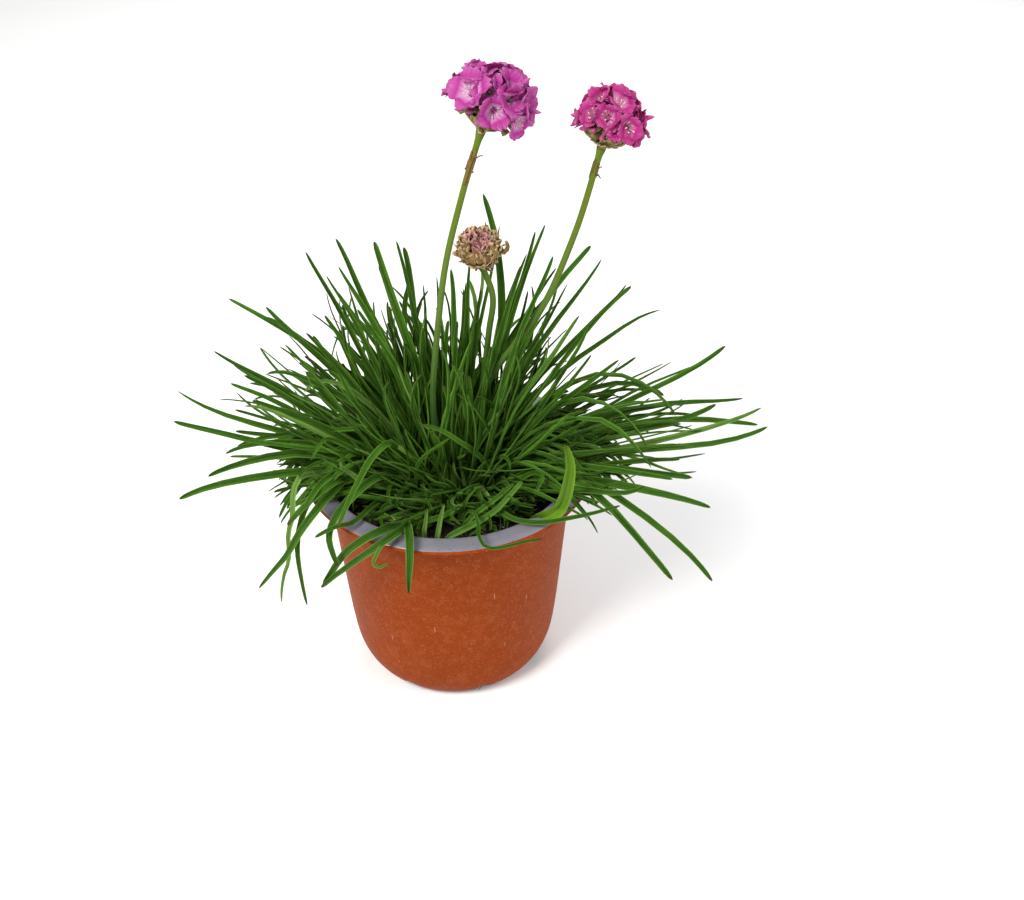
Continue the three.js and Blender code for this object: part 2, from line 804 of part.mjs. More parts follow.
// Closed bud or dry tube: a slim spindle
function budGeometry(length, radius, sides) {
  const stages = [[0.45, 0], [0.6, 0.4], [1, 0.75]];
  const rings = stages.map(([share, along]) => {
    const points = [];
    for (let side = 0; side < sides; side += 1) {
      const angle = (2 * Math.PI * side) / sides;
      const reach = radius * share;
      points.push(vec(reach * Math.cos(angle), reach * Math.sin(angle), length * along));
    }
    return points;
  });
  return skin(rings, vec(0, 0, length));
}

// Stands a geometry up on a direction, turned about it and moved out along it
function stand(geometry, direction, spin, out) {
  const turn = new THREE.Quaternion().setFromUnitVectors(UP, direction);
  return geometry.rotateZ(spin).applyQuaternion(turn)
    .translate(direction.x * out, direction.y * out, direction.z * out);
}

function headPlace({ centre, lean }) {
  const [x, y, height] = centre;
  return new THREE.Matrix4().makeRotationY(radians(lean)).setPosition(x, y, POT_HEIGHT + height);
}

// Directions spread evenly over a ball from its top down to a lowest height
function directions(count, lowest) {
  const found = [];
  for (let i = 0; i < count; i += 1) {
    const height = 0.985 - ((0.985 - lowest) * (i + 0.5)) / count;
    const reach = Math.sqrt(1 - height * height);
    const angle = i * GOLDEN_ANGLE;
    found.push(vec(reach * Math.cos(angle), reach * Math.sin(angle), height));
  }
  return found;
}

function floretsSolid(head) {
  const random = makeRandom(head.seed);
  const { core } = head;
  const profile = [[0, -core * 0.7], [core * 0.75, -core * 0.6], [core, 0], [core * 0.8, core * 0.6],
    [0, core]];
  const solids = [toSolid(turned(profile, 12))];
  for (const direction of directions(head.florets, -0.12)) {
    const reach = head.reach * random.between(0.94, 1.06);
    const size = head.floretRadius * random.between(0.9, 1.05);
    const floret = floretGeometry(size, head.floretDepth, reach - core * 0.6, random);
    solids.push(toSolid(stand(floret, direction, random.between(0, 2 * Math.PI), reach)));
  }
  for (const direction of directions(head.buds, -0.2)) {
    const side = direction.applyAxisAngle(UP, random.between(0, 2 * Math.PI));
    const bud = budGeometry(random.between(0.8, 1.0) * head.reach * 0.8, 1.1, 4);
    solids.push(toSolid(stand(bud, side, 0, core * 0.5)));
  }
  return outerBody(fuse(solids)).transform(headPlace(head).elements);
}

// Receptacle with papery bracts that point out and down
function bractsSolid(head) {
  const random = makeRandom(head.seed + 1);
  const { core } = head;
  const top = -core * 0.7 - 0.3;
  const cup = [[0, top - 3.6], [1.6, top - 3.4], [core * 0.62, top - 1.2], [core * 0.7, top - 0.1],
    [0, top]];
  const solids = [toSolid(turned(cup, 10))];
  const bracts = 8;
  for (let i = 0; i < bracts; i += 1) {
    const angle = (2 * Math.PI * (i + random.between(-0.2, 0.2))) / bracts;
    const reach = core * random.between(1.05, 1.3);
    const at = (radius, height) => vec(radius * Math.cos(angle), radius * Math.sin(angle), height);
    const line = [
      at(core * 0.3, top - 1.7),
      at(core * 0.75, top - 1.3),
      at(reach, top - random.between(0.4, 2.4)),
    ];
    solids.push(bladeSolid(line, 3.6, angle, 0, 0.8));
  }
  return outerBody(fuse(solids)).transform(headPlace(head).elements);
}

// Dried head: a ball of curled papery tubes
function driedSolid() {
  const random = makeRandom(DRIED_HEAD.seed);
  const { core } = DRIED_HEAD;
  const profile = [[0, -core * 1.35], [core * 0.6, -core], [core, -core * 0.2],
    [core * 0.75, core * 0.7], [0, core]];
  const solids = [toSolid(turned(profile, 10))];
  const sides = 5;
  for (const direction of directions(DRIED_HEAD.tubes, -0.75)) {
    const size = random.between(1.7, 2.4);
    const ring = (radius, height, wave) => {
      const points = [];
      for (let side = 0; side < sides; side += 1) {
        const angle = (2 * Math.PI * side) / sides;
        const reach = radius * (1 + random.between(-wave, wave));
        points.push(vec(reach * Math.cos(angle), reach * Math.sin(angle),
          height + random.between(-wave, wave)));
      }
      return points;
    };
    const rings = [ring(0.9, 0, 0), ring(size, 3.4, 0.25)];
    const tube = skin(rings, vec(0, 0, 2.2));
    solids.push(toSolid(stand(tube, direction, random.between(0, 1), core * 0.8)));
  }
  return outerBody(fuse(solids)).transform(headPlace(DRIED_HEAD).elements);
}

// One draw of a filling leaf: its tip, its lifts, its sideways bow and its width
function drawLeaf({ arc, reach, height, lift, width }, share, random) {
  const angle = radians(arc[0] + (arc[1] - arc[0]) * share);
  const out = random.between(...reach);
  const rise = random.between(...height);
  const bow = random.between(0, lift);
  return [out * Math.cos(angle), out * Math.sin(angle), rise, bow, bow * 0.6,
    random.between(-5, 5), random.between(...width)];
}

// Leaves in the order in which they are placed. Each filling leaf is the freest of a few draws.
function tuftLeaves(obstacles) {
  const random = makeRandom(LEAF_SEED);
  const leading = [...LEFT_LEAVES, ...HANGING_LEAVES, ...RIGHT_LEAVES];
  const placed = leading.map((leaf) => plant(leaf, CROWN, obstacles, LEAF_SHARES)).filter(Boolean);
  for (const group of FILL_LEAVES) {
    for (let i = 0; i < group.count; i += 1) {
      let best = null;
      let bestGap = -1;
      for (let draw = 0; draw < FILL_DRAWS && bestGap < LEAF_SPACING; draw += 1) {
        const leaf = drawLeaf(group, (i + random.next()) / group.count, random);
        const settled = settle(leaf, CROWN, obstacles, FILL_SHARES);
        const outer = settled && settled.line.slice(1);
        const gap = settled && Math.min(...placed.map(({ line }) => lineGap(line.slice(1), outer)));
        if (settled && gap > bestGap) {
          best = settled;
          bestGap = gap;
        }
      }
      if (best) {
        placed.push(best);
        CROWN.roots.push(best.root);
      }
    }
  }
  return placed.map((leaf) => ({ ...leaf, twist: flatTwist(random) }));
}

function tuftSolid(obstacles) {
  const solids = tuftLeaves(obstacles).map(({ line, width, angle, twist }) => (
    bladeSolid(line, width, angle, twist)
  ));
  const holes = Object.values(STALKS).map(stalkHole);
  return outerBody(fuse([crownSolid(CROWN), ...solids]).subtract(fuse(holes)));
}

// Everything in its place
function place(group, name, solid, colour, roughness) {
  const mesh = new THREE.Mesh(toGeometry(solid), material(colour, roughness));
  mesh.name = name;
  group.add(mesh);
}

const group = new THREE.Group();
group.name = 'potted_sea_thrift';
const young = youngRosette();
const broad = broadLeaf();
const stalkLines = Object.values(STALKS).map((stalk) => (
  { line: stalkCurve(stalk).getPoints(STALK_STEPS), radius: stalk.radius }
));
const driedLine = fromMouth([[12.3, 5, 77], [12.3, 5, 85]]);
const obstacles = [
  ...stalkLines,
  ...young.lines,
  broad.line,
  { line: driedLine, radius: DRIED_HEAD.core + 3 },
];
place(group, 'pot', potSolid(), COLOURS.pot, 0.4);
place(group, 'soil', soilSolid([
  CROWN,
  YOUNG_CROWN,
  { x: BROAD_LEAF_PATH[0][0], y: BROAD_LEAF_PATH[0][1], radius: BROAD_LEAF_HOLE, depth: 6 },
]), COLOURS.soil, 0.95);
place(group, 'leaf_tuft', tuftSolid(obstacles), COLOURS.leaf, 0.45);
place(group, 'front_rosette', young.solid, COLOURS.leaf, 0.45);
place(group, 'broad_leaf', broad.solid, COLOURS.youngLeaf, 0.45);
for (const [name, stalk] of Object.entries(STALKS)) {
  place(group, `stalk_${name}`, stalkSolid(stalk), COLOURS.stalk, 0.45);
}
place(group, 'sheath_tall', sheathSolid(STALKS.tall, 0.87, 0.965, 5), COLOURS.sheath, 0.8);
place(group, 'sheath_side', sheathSolid(STALKS.side, 0.91, 0.968, 6), COLOURS.sheath, 0.8);
for (const [name, head] of Object.entries(HEADS)) {
  place(group, `bracts_${name}`, bractsSolid(head), COLOURS.bract, 0.8);
  place(group, `florets_${name}`, floretsSolid(head), head.colour, 0.6);
}
place(group, 'dried_head', driedSolid(), COLOURS.dried, 0.9);

export default group;
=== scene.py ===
"""Looks of a potted sea thrift: a thin two-tone nursery pot, crumbly soil, a dense tuft of linear
leaves, two pink flower heads and a dried one. Sizes here are millimetres in the frame of the
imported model, and MM turns them into Blender's metres."""

import math

import bpy
import numpy as np
from mathutils import Matrix, Quaternion, Vector, noise


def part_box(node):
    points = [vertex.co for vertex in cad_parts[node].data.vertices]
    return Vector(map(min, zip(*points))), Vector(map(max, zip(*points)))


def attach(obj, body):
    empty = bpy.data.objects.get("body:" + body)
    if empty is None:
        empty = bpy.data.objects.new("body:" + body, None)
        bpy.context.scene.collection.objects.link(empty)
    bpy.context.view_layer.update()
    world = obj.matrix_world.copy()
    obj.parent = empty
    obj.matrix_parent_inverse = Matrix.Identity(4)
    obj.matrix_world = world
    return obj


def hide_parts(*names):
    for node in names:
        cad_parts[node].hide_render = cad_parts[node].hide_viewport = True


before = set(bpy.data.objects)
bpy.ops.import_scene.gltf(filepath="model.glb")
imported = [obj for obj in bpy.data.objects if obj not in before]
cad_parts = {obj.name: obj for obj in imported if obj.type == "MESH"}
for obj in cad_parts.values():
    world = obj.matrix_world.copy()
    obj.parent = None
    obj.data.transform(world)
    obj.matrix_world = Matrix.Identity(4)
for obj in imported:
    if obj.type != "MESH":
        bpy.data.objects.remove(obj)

bl_info = {
    "name": "Potted sea thrift",
    "version": (1, 0, 0),
    "blender": (4, 5, 0),
    "location": "3D View > Sidebar > Thrift",
    "description": "Builds the finished pieces of a potted sea thrift round its fixed frame",
    "category": "Add Mesh",
}

MM = 0.001
FULL_TURN = 2 * math.pi

# Pot
POT_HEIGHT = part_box("pot")[1].z / MM
LIP_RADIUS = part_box("pot")[1].x / MM
MOUTH_RADIUS = 45
POT_WALL = 1.0
LIP_ROLL = 1.7
LIP_THICKNESS = 1.2
POT_SIDES = 128
POT_CREASE = 38
DRAIN_COUNT = 8
DRAIN_RADIUS = 3.5
DRAIN_CIRCLE = 33
DRAIN_DEPTH = 6
DRAIN_SIDES = 28
FIRST_DRAIN = -75
FOOT_PROFILE = [(30.5, 0), (33, 1), (35.6, 4), (37.8, 9), (39.2, 16), (42.6, 56), (44.7, 84)]

# Soil
SOIL_TOP = POT_HEIGHT - 11
SOIL_GRID = 120
SOIL_WALL = [(42.6, 74), (41.1, 56), (37.7, 16.2), (36.4, 10), (33.4, 6), (29.5, 1.4)]
CRUMB_SEED = 77
ROOTLET_SEED = 19
LOOSE_ROOTLETS = 14
DRAIN_ROOTLETS = 7
# Draw of the two dull pieces that are modelled whole, the soil and the old leaf feet
DULL_DRAW = (0.2, 0.5, 0.5)

# Leaf tuft, as in the solid model
CROWN_RADIUS = 21
CROWN_DOME = 3
CROWN_LIFT = 1
CROWN_EDGE = 0.6
# The young rosette's crown: its middle, radius and dome
YOUNG_CROWN = (-4, -35, 6, 1.5)
ROOT_SINK = 2.5
ROOT_REACH = 0.85
LEAF_SHARES = np.array([0, 0.2, 0.43, 0.68, 0.94, 1])
FILL_SHARES = np.array([0, 0.27, 0.6, 0.94, 1])
ROOT_SPACING = 2.2
ROOT_MARGIN = 1.8
LEAF_SEED = 4177
LEAF_CLEARANCE = 1.75
LIP_CLEARANCE = 1.8
LIP_APPROACH = 2.6
SOIL_CLEARANCE = 3.3
FILL_DRAWS = 10
FILL_SWAY = 5
LEAF_SPACING = 2.4
UPRIGHT_BIAS = 20
FLAT_LEAN = 1.3
SPIRAL_STEP = 0.45
SPIRAL_TURNS = 400
ROOT_TRIES = 12
TURNS_PER_TRY = 20
LIFT_STEP = 2
MOST_LIFT = 30
SWING_STEP = 2
SWING_TRIES = 8
MOST_TWIST = 30
STALK_ROOM = 3.4
STALK_STEPS = 10
GOLDEN_ANGLE = math.radians(137.508)
UP = np.array([0.0, 0.0, 1.0])

# Leaves: tip to the right, to the back and up from the middle of the pot's mouth, lift of the
# lower and of the upper half, sideways bow, width
LEFT_LEAVES = [
    (-75, 25, 54, 26, 9, 0, 2.8),
    (-61, 15, 56, 6, 2, 0, 2.6),
    (-62, 20, 49, 20, 9, 0, 1.8),
    (-46, 20, 74, 4, -4, 0, 2.2),
    (-39, 12, 69, 4, 2, 0, 2.0),
    (-35, 15, 81, 8, 4, 0, 2.8),
    (-34, 5, 76, 8, 6, 0, 2.6),
    (-22, 8, 83, 8, 4, 0, 3.0),
    (-21, 15, 72, 5, 4, 0, 2.4),
    (-15, 18, 78, 4, 2, 0, 1.8),
    (-13, 25, 72, 5, 4, 0, 3.0),
    (-36, 10, 64, 24, 10, 0, 1.6),
    (-28, -8, 67, 18, 8, 0, 2.2),
    (-80, 10, 42, 4, 1, 0, 2.8),
    (-69, 0, 38, 4, 2, 0, 2.6),
    (-74, 0, 35, 7, 3, 0, 2.2),
    (-66, -8, 33, 6, 5, 0, 3.0),
    (-48, -10, 37, 26, 22, 0, 2.2),
    (-59, -12, 46, 22, 16, 0, 2.2),
    (-47, 5, 51, 4, 2, 0, 3.0),
    (-42, 22, 48, 4, 2, 0, 2.6),
    (-62, 40, 25, 14, 2, 0, 1.6),
    (-91, -5, 36, 6, -8, 0, 2.6),
    (-93, -10, 27, 10, -2, 0, 2.6),
    (-77, 15, 14, 12, 2, 0, 1.6),
    (-77, 10, 8, 12, 4, 0, 2.4),
    (-68, -20, 25, 16, 2, 0, 1.8),
    (-74, -5, 12, 10, 3, 0, 2.6),
    (-77, -12, 14, 8, 2, 0, 2.6),
    (-82, -20, 11, 12, 3, 0, 3.2),
    (-91, -30, 9, 14, 5, 0, 3.2),
]
HANGING_LEAVES = [
    (-66, -40, -23, 24, 20, 0, 2.8),
    (-60, -38, -32, 26, 32, 0, 2.8),
    (-49, -42, -30, 24, 30, 0, 2.4),
    (-44, -45, -19, 16, 18, 0, 2.6),
    (-39, -44, -10, 18, 20, 0, 3.2),
    (74, -42, -28, 22, 16, 0, 3.0),
    (90, -45, -25, 22, 6, 0, 2.8),
    (50, -38, -7, 14, 12, 0, 1.8),
    (55, -36, -1, 14, 8, 0, 1.6),
]
RIGHT_LEAVES = [
    (101, 15, 34, 3, -7, 0, 2.4),
    (81, 20, 10, 28, 20, 0, 2.2),
    (79, 24, 7, 26, 16, 0, 1.6),
    (76, 20, 48, 22, 8, 0, 2.2),
    (63, 12, 62, 6, -2, 0, 2.2),
    (67, 25, 54, 18, 6, 0, 2.2),
    (54, 12, 72, 14, 0, 0, 2.4),
    (51, 18, 74, 22, 13, 0, 2.4),
    (45, -5, 60, 2, 0, 0, 2.4),
    (42, 5, 67, 6, 0, 0, 1.8),
    (36, 5, 80, 5, 0, 0, 2.2),
    (35, 15, 84, 5, 0, 0, 2.0),
    (32, 20, 79, 4, 2, 4, 2.8),
    (27, 10, 78, 2, 0, 0, 2.6),
    (27, 20, 66, 2, 0, 0, 1.6),
    (23, 25, 78, 0, 0, 0, 1.6),
    (15, 20, 93, 0, 0, 8, 2.8),
    (23, 14, 68, 0, 0, 9, 2.6),
    (13, 15, 60, 2, 2, 0, 2.0),
    (3, 10, 71, 0, 0, 3, 2.8),
    (-2, 20, 63, 0, 0, 0, 1.8),
    (8, 15, 63, 0, 0, 0, 1.6),
    (11, 25, 42, 0, 0, 0, 2.6),
    (49, -10, 48, 0, -6, 0, 1.8),
    (60, 0, 39, 4, 3, 0, 2.4),
    (46, 25, 22, 6, 4, 0, 2.4),
    (107, 10, 12, 12, 2, 0, 2.6),
    (96, 0, 19, 4, -9, 0, 2.6),
    (113, 5, 2, 14, 12, 0, 2.8),
    (108, -15, 27, 8, -10, 0, 2.8),
    (109, -22, 24, 10, -10, 0, 2.6),
    (89, -20, 12, 8, -4, 0, 1.8),
    (83, -28, 8, 12, 6, 0, 2.8),
    (76, -30, 9, 12, 6, 0, 2.6),
    (89, -35, 0, 14, 6, 0, 3.4),
    (65, -40, 12, 6, -4, 0, 2.6),
    (62, 15, 15, 8, 0, 0, 1.6),
    (86, 10, 15, 8, -4, 0, 1.8),
]

# Leaves that fill the tuft: count, arc in degrees from the right, reach, height, most lift, width
FILL_LEAVES = [
    (20, (0, 360), (4, 26), (34, 62), 6, (1.8, 2.8)),
    (20, (110, 200), (20, 52), (22, 54), 12, (1.8, 2.8)),
    (14, (-30, 70), (20, 50), (22, 54), 12, (1.8, 2.8)),
    (9, (152, 198), (38, 70), (2, 26), 14, (2.0, 3.0)),
    (9, (-28, 24), (42, 88), (0, 16), 14, (2.0, 3.0)),
    (15, (32, 148), (30, 76), (2, 22), 12, (2.0, 2.8)),
    (11, (205, 330), (8, 26), (6, 26), 8, (2.0, 2.6)),
    (16, (208, 332), (20, 40), (-4, 13), 9, (2.0, 2.8)),
]
# Finer leaves that only the finished tuft has: as above, with the most that a root may stand
# aside from its tip, in degrees
FINE_LEAVES = [
    (60, (0, 360), (4, 32), (28, 64), 6, (1.3, 2.2), 60),
    (60, (105, 205), (16, 56), (14, 58), 12, (1.3, 2.3), 50),
    (55, (-35, 75), (16, 54), (14, 58), 12, (1.3, 2.3), 50),
    (50, (158, 212), (34, 64), (-4, 18), 12, (1.5, 2.5), 45),
    (50, (-34, 22), (34, 66), (-4, 16), 12, (1.5, 2.5), 45),
    (30, (152, 190), (48, 80), (0, 36), 12, (1.5, 2.4), 35),
    (36, (-24, 24), (54, 94), (0, 26), 14, (1.5, 2.4), 35),
    (40, (32, 148), (28, 66), (2, 30), 10, (1.3, 2.3), 50),
    (60, (150, 390), (26, 56), (4, 34), 12, (1.0, 1.8), 80),
    (48, (212, 328), (26, 43), (-4, 9), 7, (1.2, 2.1), 85),
    (22, (188, 214), (30, 54), (-3, 12), 8, (1.4, 2.4), 50),
    (22, (326, 352), (30, 56), (-3, 12), 8, (1.4, 2.4), 50),
    (26, (160, 200), (44, 62), (-6, 8), 8, (1.6, 2.5), 40),
    (26, (-26, 16), (44, 64), (-4, 8), 8, (1.6, 2.5), 40),
    (44, (174, 206), (52, 66), (-8, 5), 3, (1.7, 2.6), 35),
    (30, (-22, 6), (53, 68), (-8, 4), 3, (1.7, 2.6), 35),
    (26, (284, 338), (28, 44), (-6, 5), 4, (1.2, 2.1), 70),
    (22, (238, 268), (22, 42), (-7, 4), 4, (1.2, 2.1), 60),
    (14, (190, 350), (14, 30), (10, 30), 8, (1.0, 1.6), 80),
    (30, (255, 300), (35, 43), (-7, 0), 3, (1.3, 2.1), 45),
    (30, (296, 336), (35, 46), (-7, 0), 3, (1.3, 2.1), 45),
    (24, (-42, -16), (46, 60), (-5, 2), 3, (1.6, 2.4), 35),
    (16, (196, 232), (36, 46), (-7, -2), 3, (1.4, 2.2), 40),
]
FINE_SEED = 905
FINE_TRIES = 5
FINE_SWAY = 13
DRY_LEAVES = [
    (9, (120, 170), (38, 62), (26, 58), 10, (0.5, 0.9), 30),
    (4, (10, 70), (40, 66), (30, 60), 8, (0.5, 0.8), 30),
    (8, (190, 350), (20, 36), (-8, -2), 3, (0.7, 1.4), 80),
]
# Leaves of the tuft bent in a way of their own: width, tone from dark to light, and points from
# the middle of the pot's mouth
SHAPED_LEAVES = [
    (2.6, 0.6, [(-12, -8, -5), (-17, -14, 12), (-20.2, -18, 20.2), (-26, -24, 19),
                 (-30.5, -34, 17.1), (-33.2, -44, 16.7), (-36.5, -52, 12.2)]),
    (1.9, 0.8, [(-14, -3, -5), (-24.8, -4.7, 3), (-30.6, -12, 12.1), (-36.6, -14, 18.5),
                (-41.4, -18, 23.3), (-43.5, -22, 23), (-46.7, -24, 18.5)]),
    (1.4, 0.9, [(-8, -14, -6), (-18, -18, -5), (-23.8, -20.2, -4), (-24.8, -25, -4),
                (-23.9, -33.1, -2), (-20.7, -43, 2), (-16.6, -44.3, 2.5)]),
    (2.4, 0.8, [(-4, -17, -6), (-13.5, -24, -0.2), (-19.1, -23, -2), (-23.7, -24.2, -3),
                (-24.1, -27.2, -3), (-21.8, -30.5, -2.5), (-15.6, -33.8, -1), (-8.5, -34, 1.4)]),
    (2.0, 0.75, [(12, -12, -5), (12.5, -15, 6), (8.6, -18, 15.5), (3.9, -21, 22.2),
                 (-2.1, -22.5, 27.7), (-8.8, -23, 30.9)]),
    (2.2, 0.85, [(-12, -18, -7), (-19.2, -28.8, -4), (-15.7, -32.4, -3), (-10.8, -33.9, -2),
                 (-6.5, -34.4, -1), (-1.2, -34.5, 1.5), (4.1, -33.7, 5)]),
    (2.0, 0.15, [(9, -13, -6), (15.4, -29.2, 0), (21.1, -37.8, 1.2), (27.8, -42.2, 2.5),
                 (33.2, -43.1, 3), (38, -42.4, 3.2), (45.1, -40.4, 3), (57.4, -35.7, 3)]),
    (3.1, 0.2, [(-15, -10, -5), (-24, -19, 7), (-32, -30, 9.5), (-38.4, -40, 6.8),
                (-40.6, -44, 2), (-39.8, -45.5, -5), (-38.8, -45.5, -10)]),
    (2.0, 0.1, [(-15, -8, -5), (-26, -26, 0), (-33.4, -38, 2.6), (-37.1, -42, 4.8),
                (-40, -44, 5.1), (-45.2, -46, 3.2)]),
    (1.7, 0.95, [(-16, -36, -1), (-21, -47, 3), (-24.8, -53.6, 1), (-26, -54.6, -1.8),
                 (-24.3, -55, -3.2), (-21.5, -55, -1.4)]),
    (2.4, 1.0, [(-14, -6, -5), (-24, -16, 2), (-30.3, -22, 7), (-33.9, -24, 12.4),
                (-36.2, -26, 16.4), (-36.7, -26, 19.3)]),
    (2.6, 0.1, [(5, 6, -5), (6, 8, 30), (8, 8, 60), (9.5, 8.5, 76)]),
    (2.0, 0.8, [(19, -15, -5), (24.3, -20, 3.6), (29.6, -24, 9.5), (31.7, -27, 9.9),
                (30.2, -29, 7.7), (28.6, -31, 5.2)]),
    (3.2, 0.35, [(-12, -6, -5), (-24, -10, 2), (-35.4, -18, 6.8), (-41.1, -28, 11.3),
                 (-48.5, -36, 9.2), (-54.6, -40, 3.9)]),
    (3.2, 0.5, [(-12, -8, -5), (-24, -13, 2), (-35.3, -20, 7), (-39.5, -27, 8), (-45, -35, 6.8),
                (-51.6, -41, 1.1), (-56.2, -42, -6.9), (-61.5, -42, -14), (-66.9, -42, -21.6)]),
    (2.3, 1.0, [(-14, -3, -5), (-30, -8, 4), (-44.1, -18, 8.1), (-50.6, -29, 13.7),
                (-52.1, -34, 10.2), (-52.8, -36, 4.5), (-55.2, -37, -2.4), (-56.2, -38, -12.9),
                (-58.4, -38, -18.9), (-60.1, -38, -26.7), (-60.7, -38, -32.4)]),
    (2.3, 0.4, [(-12, -10, -5), (-26, -15, 4), (-39, -22, 10.1), (-46.3, -34, 10.3),
                (-50.8, -38, 2.6), (-52.7, -40, -4.8), (-53.2, -40, -11.5), (-52.6, -40, -23),
                (-51.7, -40, -32.5)]),
    (3.2, 0.1, [(-6, -17, -7), (-13, -30, -2), (-16.1, -35, 0.5), (-19.4, -39.4, 2.5),
                (-22, -42.5, 3.5), (-24.8, -45.2, 4), (-27.6, -46.8, 3.5), (-32, -46.5, -0.4),
                (-36, -44, -6.3), (-41.1, -41.5, -15.4), (-45.1, -40, -23)]),
    (3.0, 0.15, [(-4, -18, -7), (-12, -33, -2), (-15.5, -38.3, 0.5), (-17.9, -43.7, 3),
                 (-20.4, -47.1, 4), (-23.7, -50.2, 4), (-27.7, -50, 0.5), (-32, -47, -5.7),
                 (-36.5, -44.5, -12), (-41.7, -42, -18.6), (-45.9, -41, -23.5)]),
    (3.2, 0.15, [(8, 8, -5), (14, 11, 18), (18.7, 13, 38.8), (20, 15, 51.8), (20.2, 17, 64.4),
                 (18.9, 18, 77.2), (16.4, 19, 87.2), (14.5, 20, 93.2)]),
    (1.6, 0.9, [(-17.5, -14, 14), (-17.5, -16, 17.2), (-12.1, -18, 13.1), (-9, -16, 4)]),
    (1.6, 0.9, [(-12, -4, -5), (-25.8, -8, 18), (-36, -6, 17.5), (-46.1, -4, 16), (-54.1, -4, 15.1),
                (-62, -6, 14.4), (-67.7, -8, 14.9), (-70.4, -8, 15.8)]),
]
# Rows of leaves above that stand among the shaped ones instead
REDRAWN_LEAVES = HANGING_LEAVES[:5] + [(15, 20, 93, 0, 0, 8, 2.8)]
TOWARDS_VIEWER = (0.0, -0.804, 0.595)
BLADE_BREADTH = 0.9
BLADE_CREASE = 36
BLADE_SEED = 4021
# Shares of the tuft's and of the dry leaves whose tips bend aside
TUFT_HOOKS = 0.16
DRY_HOOKS = 0.5
# Section of a blade from the groove on its top round, and the shares of its length where its
# rings lie
BLADE_SECTION = np.array([(0, -0.12), (1, 0.42), (0.6, -0.16), (0, -0.44), (-0.6, -0.16),
                          (-1, 0.42)])
BLADE_TURNS = len(BLADE_SECTION)
BLADE_SHARES = np.array([0, 0.12, 0.26, 0.4, 0.54, 0.67, 0.78, 0.87, 0.93, 0.965, 0.988, 1])
SMOOTH_SHARES = np.append(np.linspace(0, 0.9, 25), [0.925, 0.945, 0.962, 0.977, 0.988, 0.996, 1])
# Heights of the tall stalk that no filling leaf hides from the viewer, and the room beside it
SHOWN_STALK = (24, 72)
SHOWN_ROOM = 2.2

YOUNG_LEAVES = [
    (23, -35, 15, 1, -2, 0, 2.4),
    (19, -33, 12, 1, -2, 0, 2.4),
    (-8, -38, 6, 0, 0, 0, 1.8),
    (-2, -36, 7, 0, 0, 0, 1.8),
    (7, -33, 9, 2, 0, 0, 1.6),
    (30, -49, -1, 8, 3, 9, 1.4),
    (-15, -55, -18, 14, 18, 0, 3.4),
]
# The same seven young leaves as they are drawn in full: width, tone and points
YOUNG_SHAPES = [
    (2.3, 0.95, [(-3, -36, -14), (-1.2, -38, -6.2), (3.4, -37, -4), (8.7, -36, -1.3),
                 (15.1, -35, 3.4), (20, -34, 8.7), (24.2, -33, 13.2)]),
    (2.0, 0.85, [(-2, -34, -14), (-0.1, -36, -7.1), (3.4, -35, -4.5), (7.5, -34, -0.3),
                 (13.9, -33, 4.9), (21.5, -31, 10.9)]),
    (1.9, 1.0, [(-7, -36, -14), (-9.3, -38, -5.5), (-8.9, -37.5, 0.8), (-8.2, -37, 6.6)]),
    (2.0, 1.0, [(-5, -36, -14), (-5.4, -38, -6.2), (-4, -37, 0.2), (-2.4, -36, 7.2)]),
    (1.5, 0.9, [(0, -32, -14), (3, -31, -2), (5.9, -33, 7.1), (9.5, -31, 10)]),
    (1.4, 0.15, [(2, -34, -14), (5, -34, 2), (7.7, -36, 3.5), (9.3, -40.4, 2), (9.2, -45.2, 2.2),
                 (9.7, -50.6, 3), (10.7, -52.9, 2.5), (12.6, -53.2, 1.8), (16.8, -52.3, 1.1),
                 (23.6, -50.2, 0.9), (30.1, -47, -0.7)]),
    (3.3, 0.0, [(-9, -33, -14), (-12.5, -33.5, -4), (-15.3, -35.1, 0.5), (-14.8, -43, 2.2),
                (-14.6, -48.8, 2.8), (-14.5, -51.9, 2.2), (-14.5, -55.5, -0.5),
                (-14.7, -55.5, -5.3), (-15.2, -54, -16)]),
]
BROAD_LEAF_PATH = [(24, -29, -14), (26, -33, -5), (28.3, -35.5, -1), (30.3, -37.1, 0.8),
                   (32.6, -37.8, 2), (35.9, -37.7, 4.5), (37.9, -38, 9.4), (39, -38.2, 16.2),
                   (39.2, -38, 23), (37.6, -38, 31.2)]
BROAD_LEAF_WIDTH = 6.4

# Florets: petals, the radius of the throat, stamens, thicknesses, and rings of their tubes
PETAL_COUNT = 5
THROAT = 0.7
THREAD_RADIUS = 0.14
ANTHER_SIZE = (0.24, 0.24, 0.45)
PETAL_THICKNESS = 0.14
SKIN_THICKNESS = 0.16
TUBE_SHARES = np.linspace(0, 1, 5)

# Flower heads, their middles in millimetres from the middle of the pot's mouth
HEADS = {
    "tall": dict(centre=(16.0, -6, 133.6), lean=19, core=6.0, foot=8.8, crowd=20, buds=4, skirt=7,
                 petal=7.1, depth=2.0, reach=11.7, flat=0.2, openness=(0.45, 0.95), seed=91,
                 lowest=0.0, breadth=(0.38, 0.48),
                 spikes=[(-0.95, -0.25, 0.42), (0.75, -0.35, 0.62), (0.93, -0.35, -0.05)]),
    "side": dict(centre=(53, 0, 124.5), lean=17, core=5.4, foot=8.2, crowd=20, buds=3, skirt=11,
                 petal=5.8, depth=2.5, reach=9.8, flat=0.1, openness=(0.4, 0.85), seed=57,
                 lowest=-0.1, breadth=(0.44, 0.56),
                 spikes=[(-0.9, -0.2, 0.3), (0.95, -0.2, 0.2)]),
}
DRIED_HEAD = dict(centre=(12.3, 5, 81), lean=-8, core=4.6, foot=6.5, seed=33)
PETAL, CALYX, STAMEN, ANTHER = range(4)
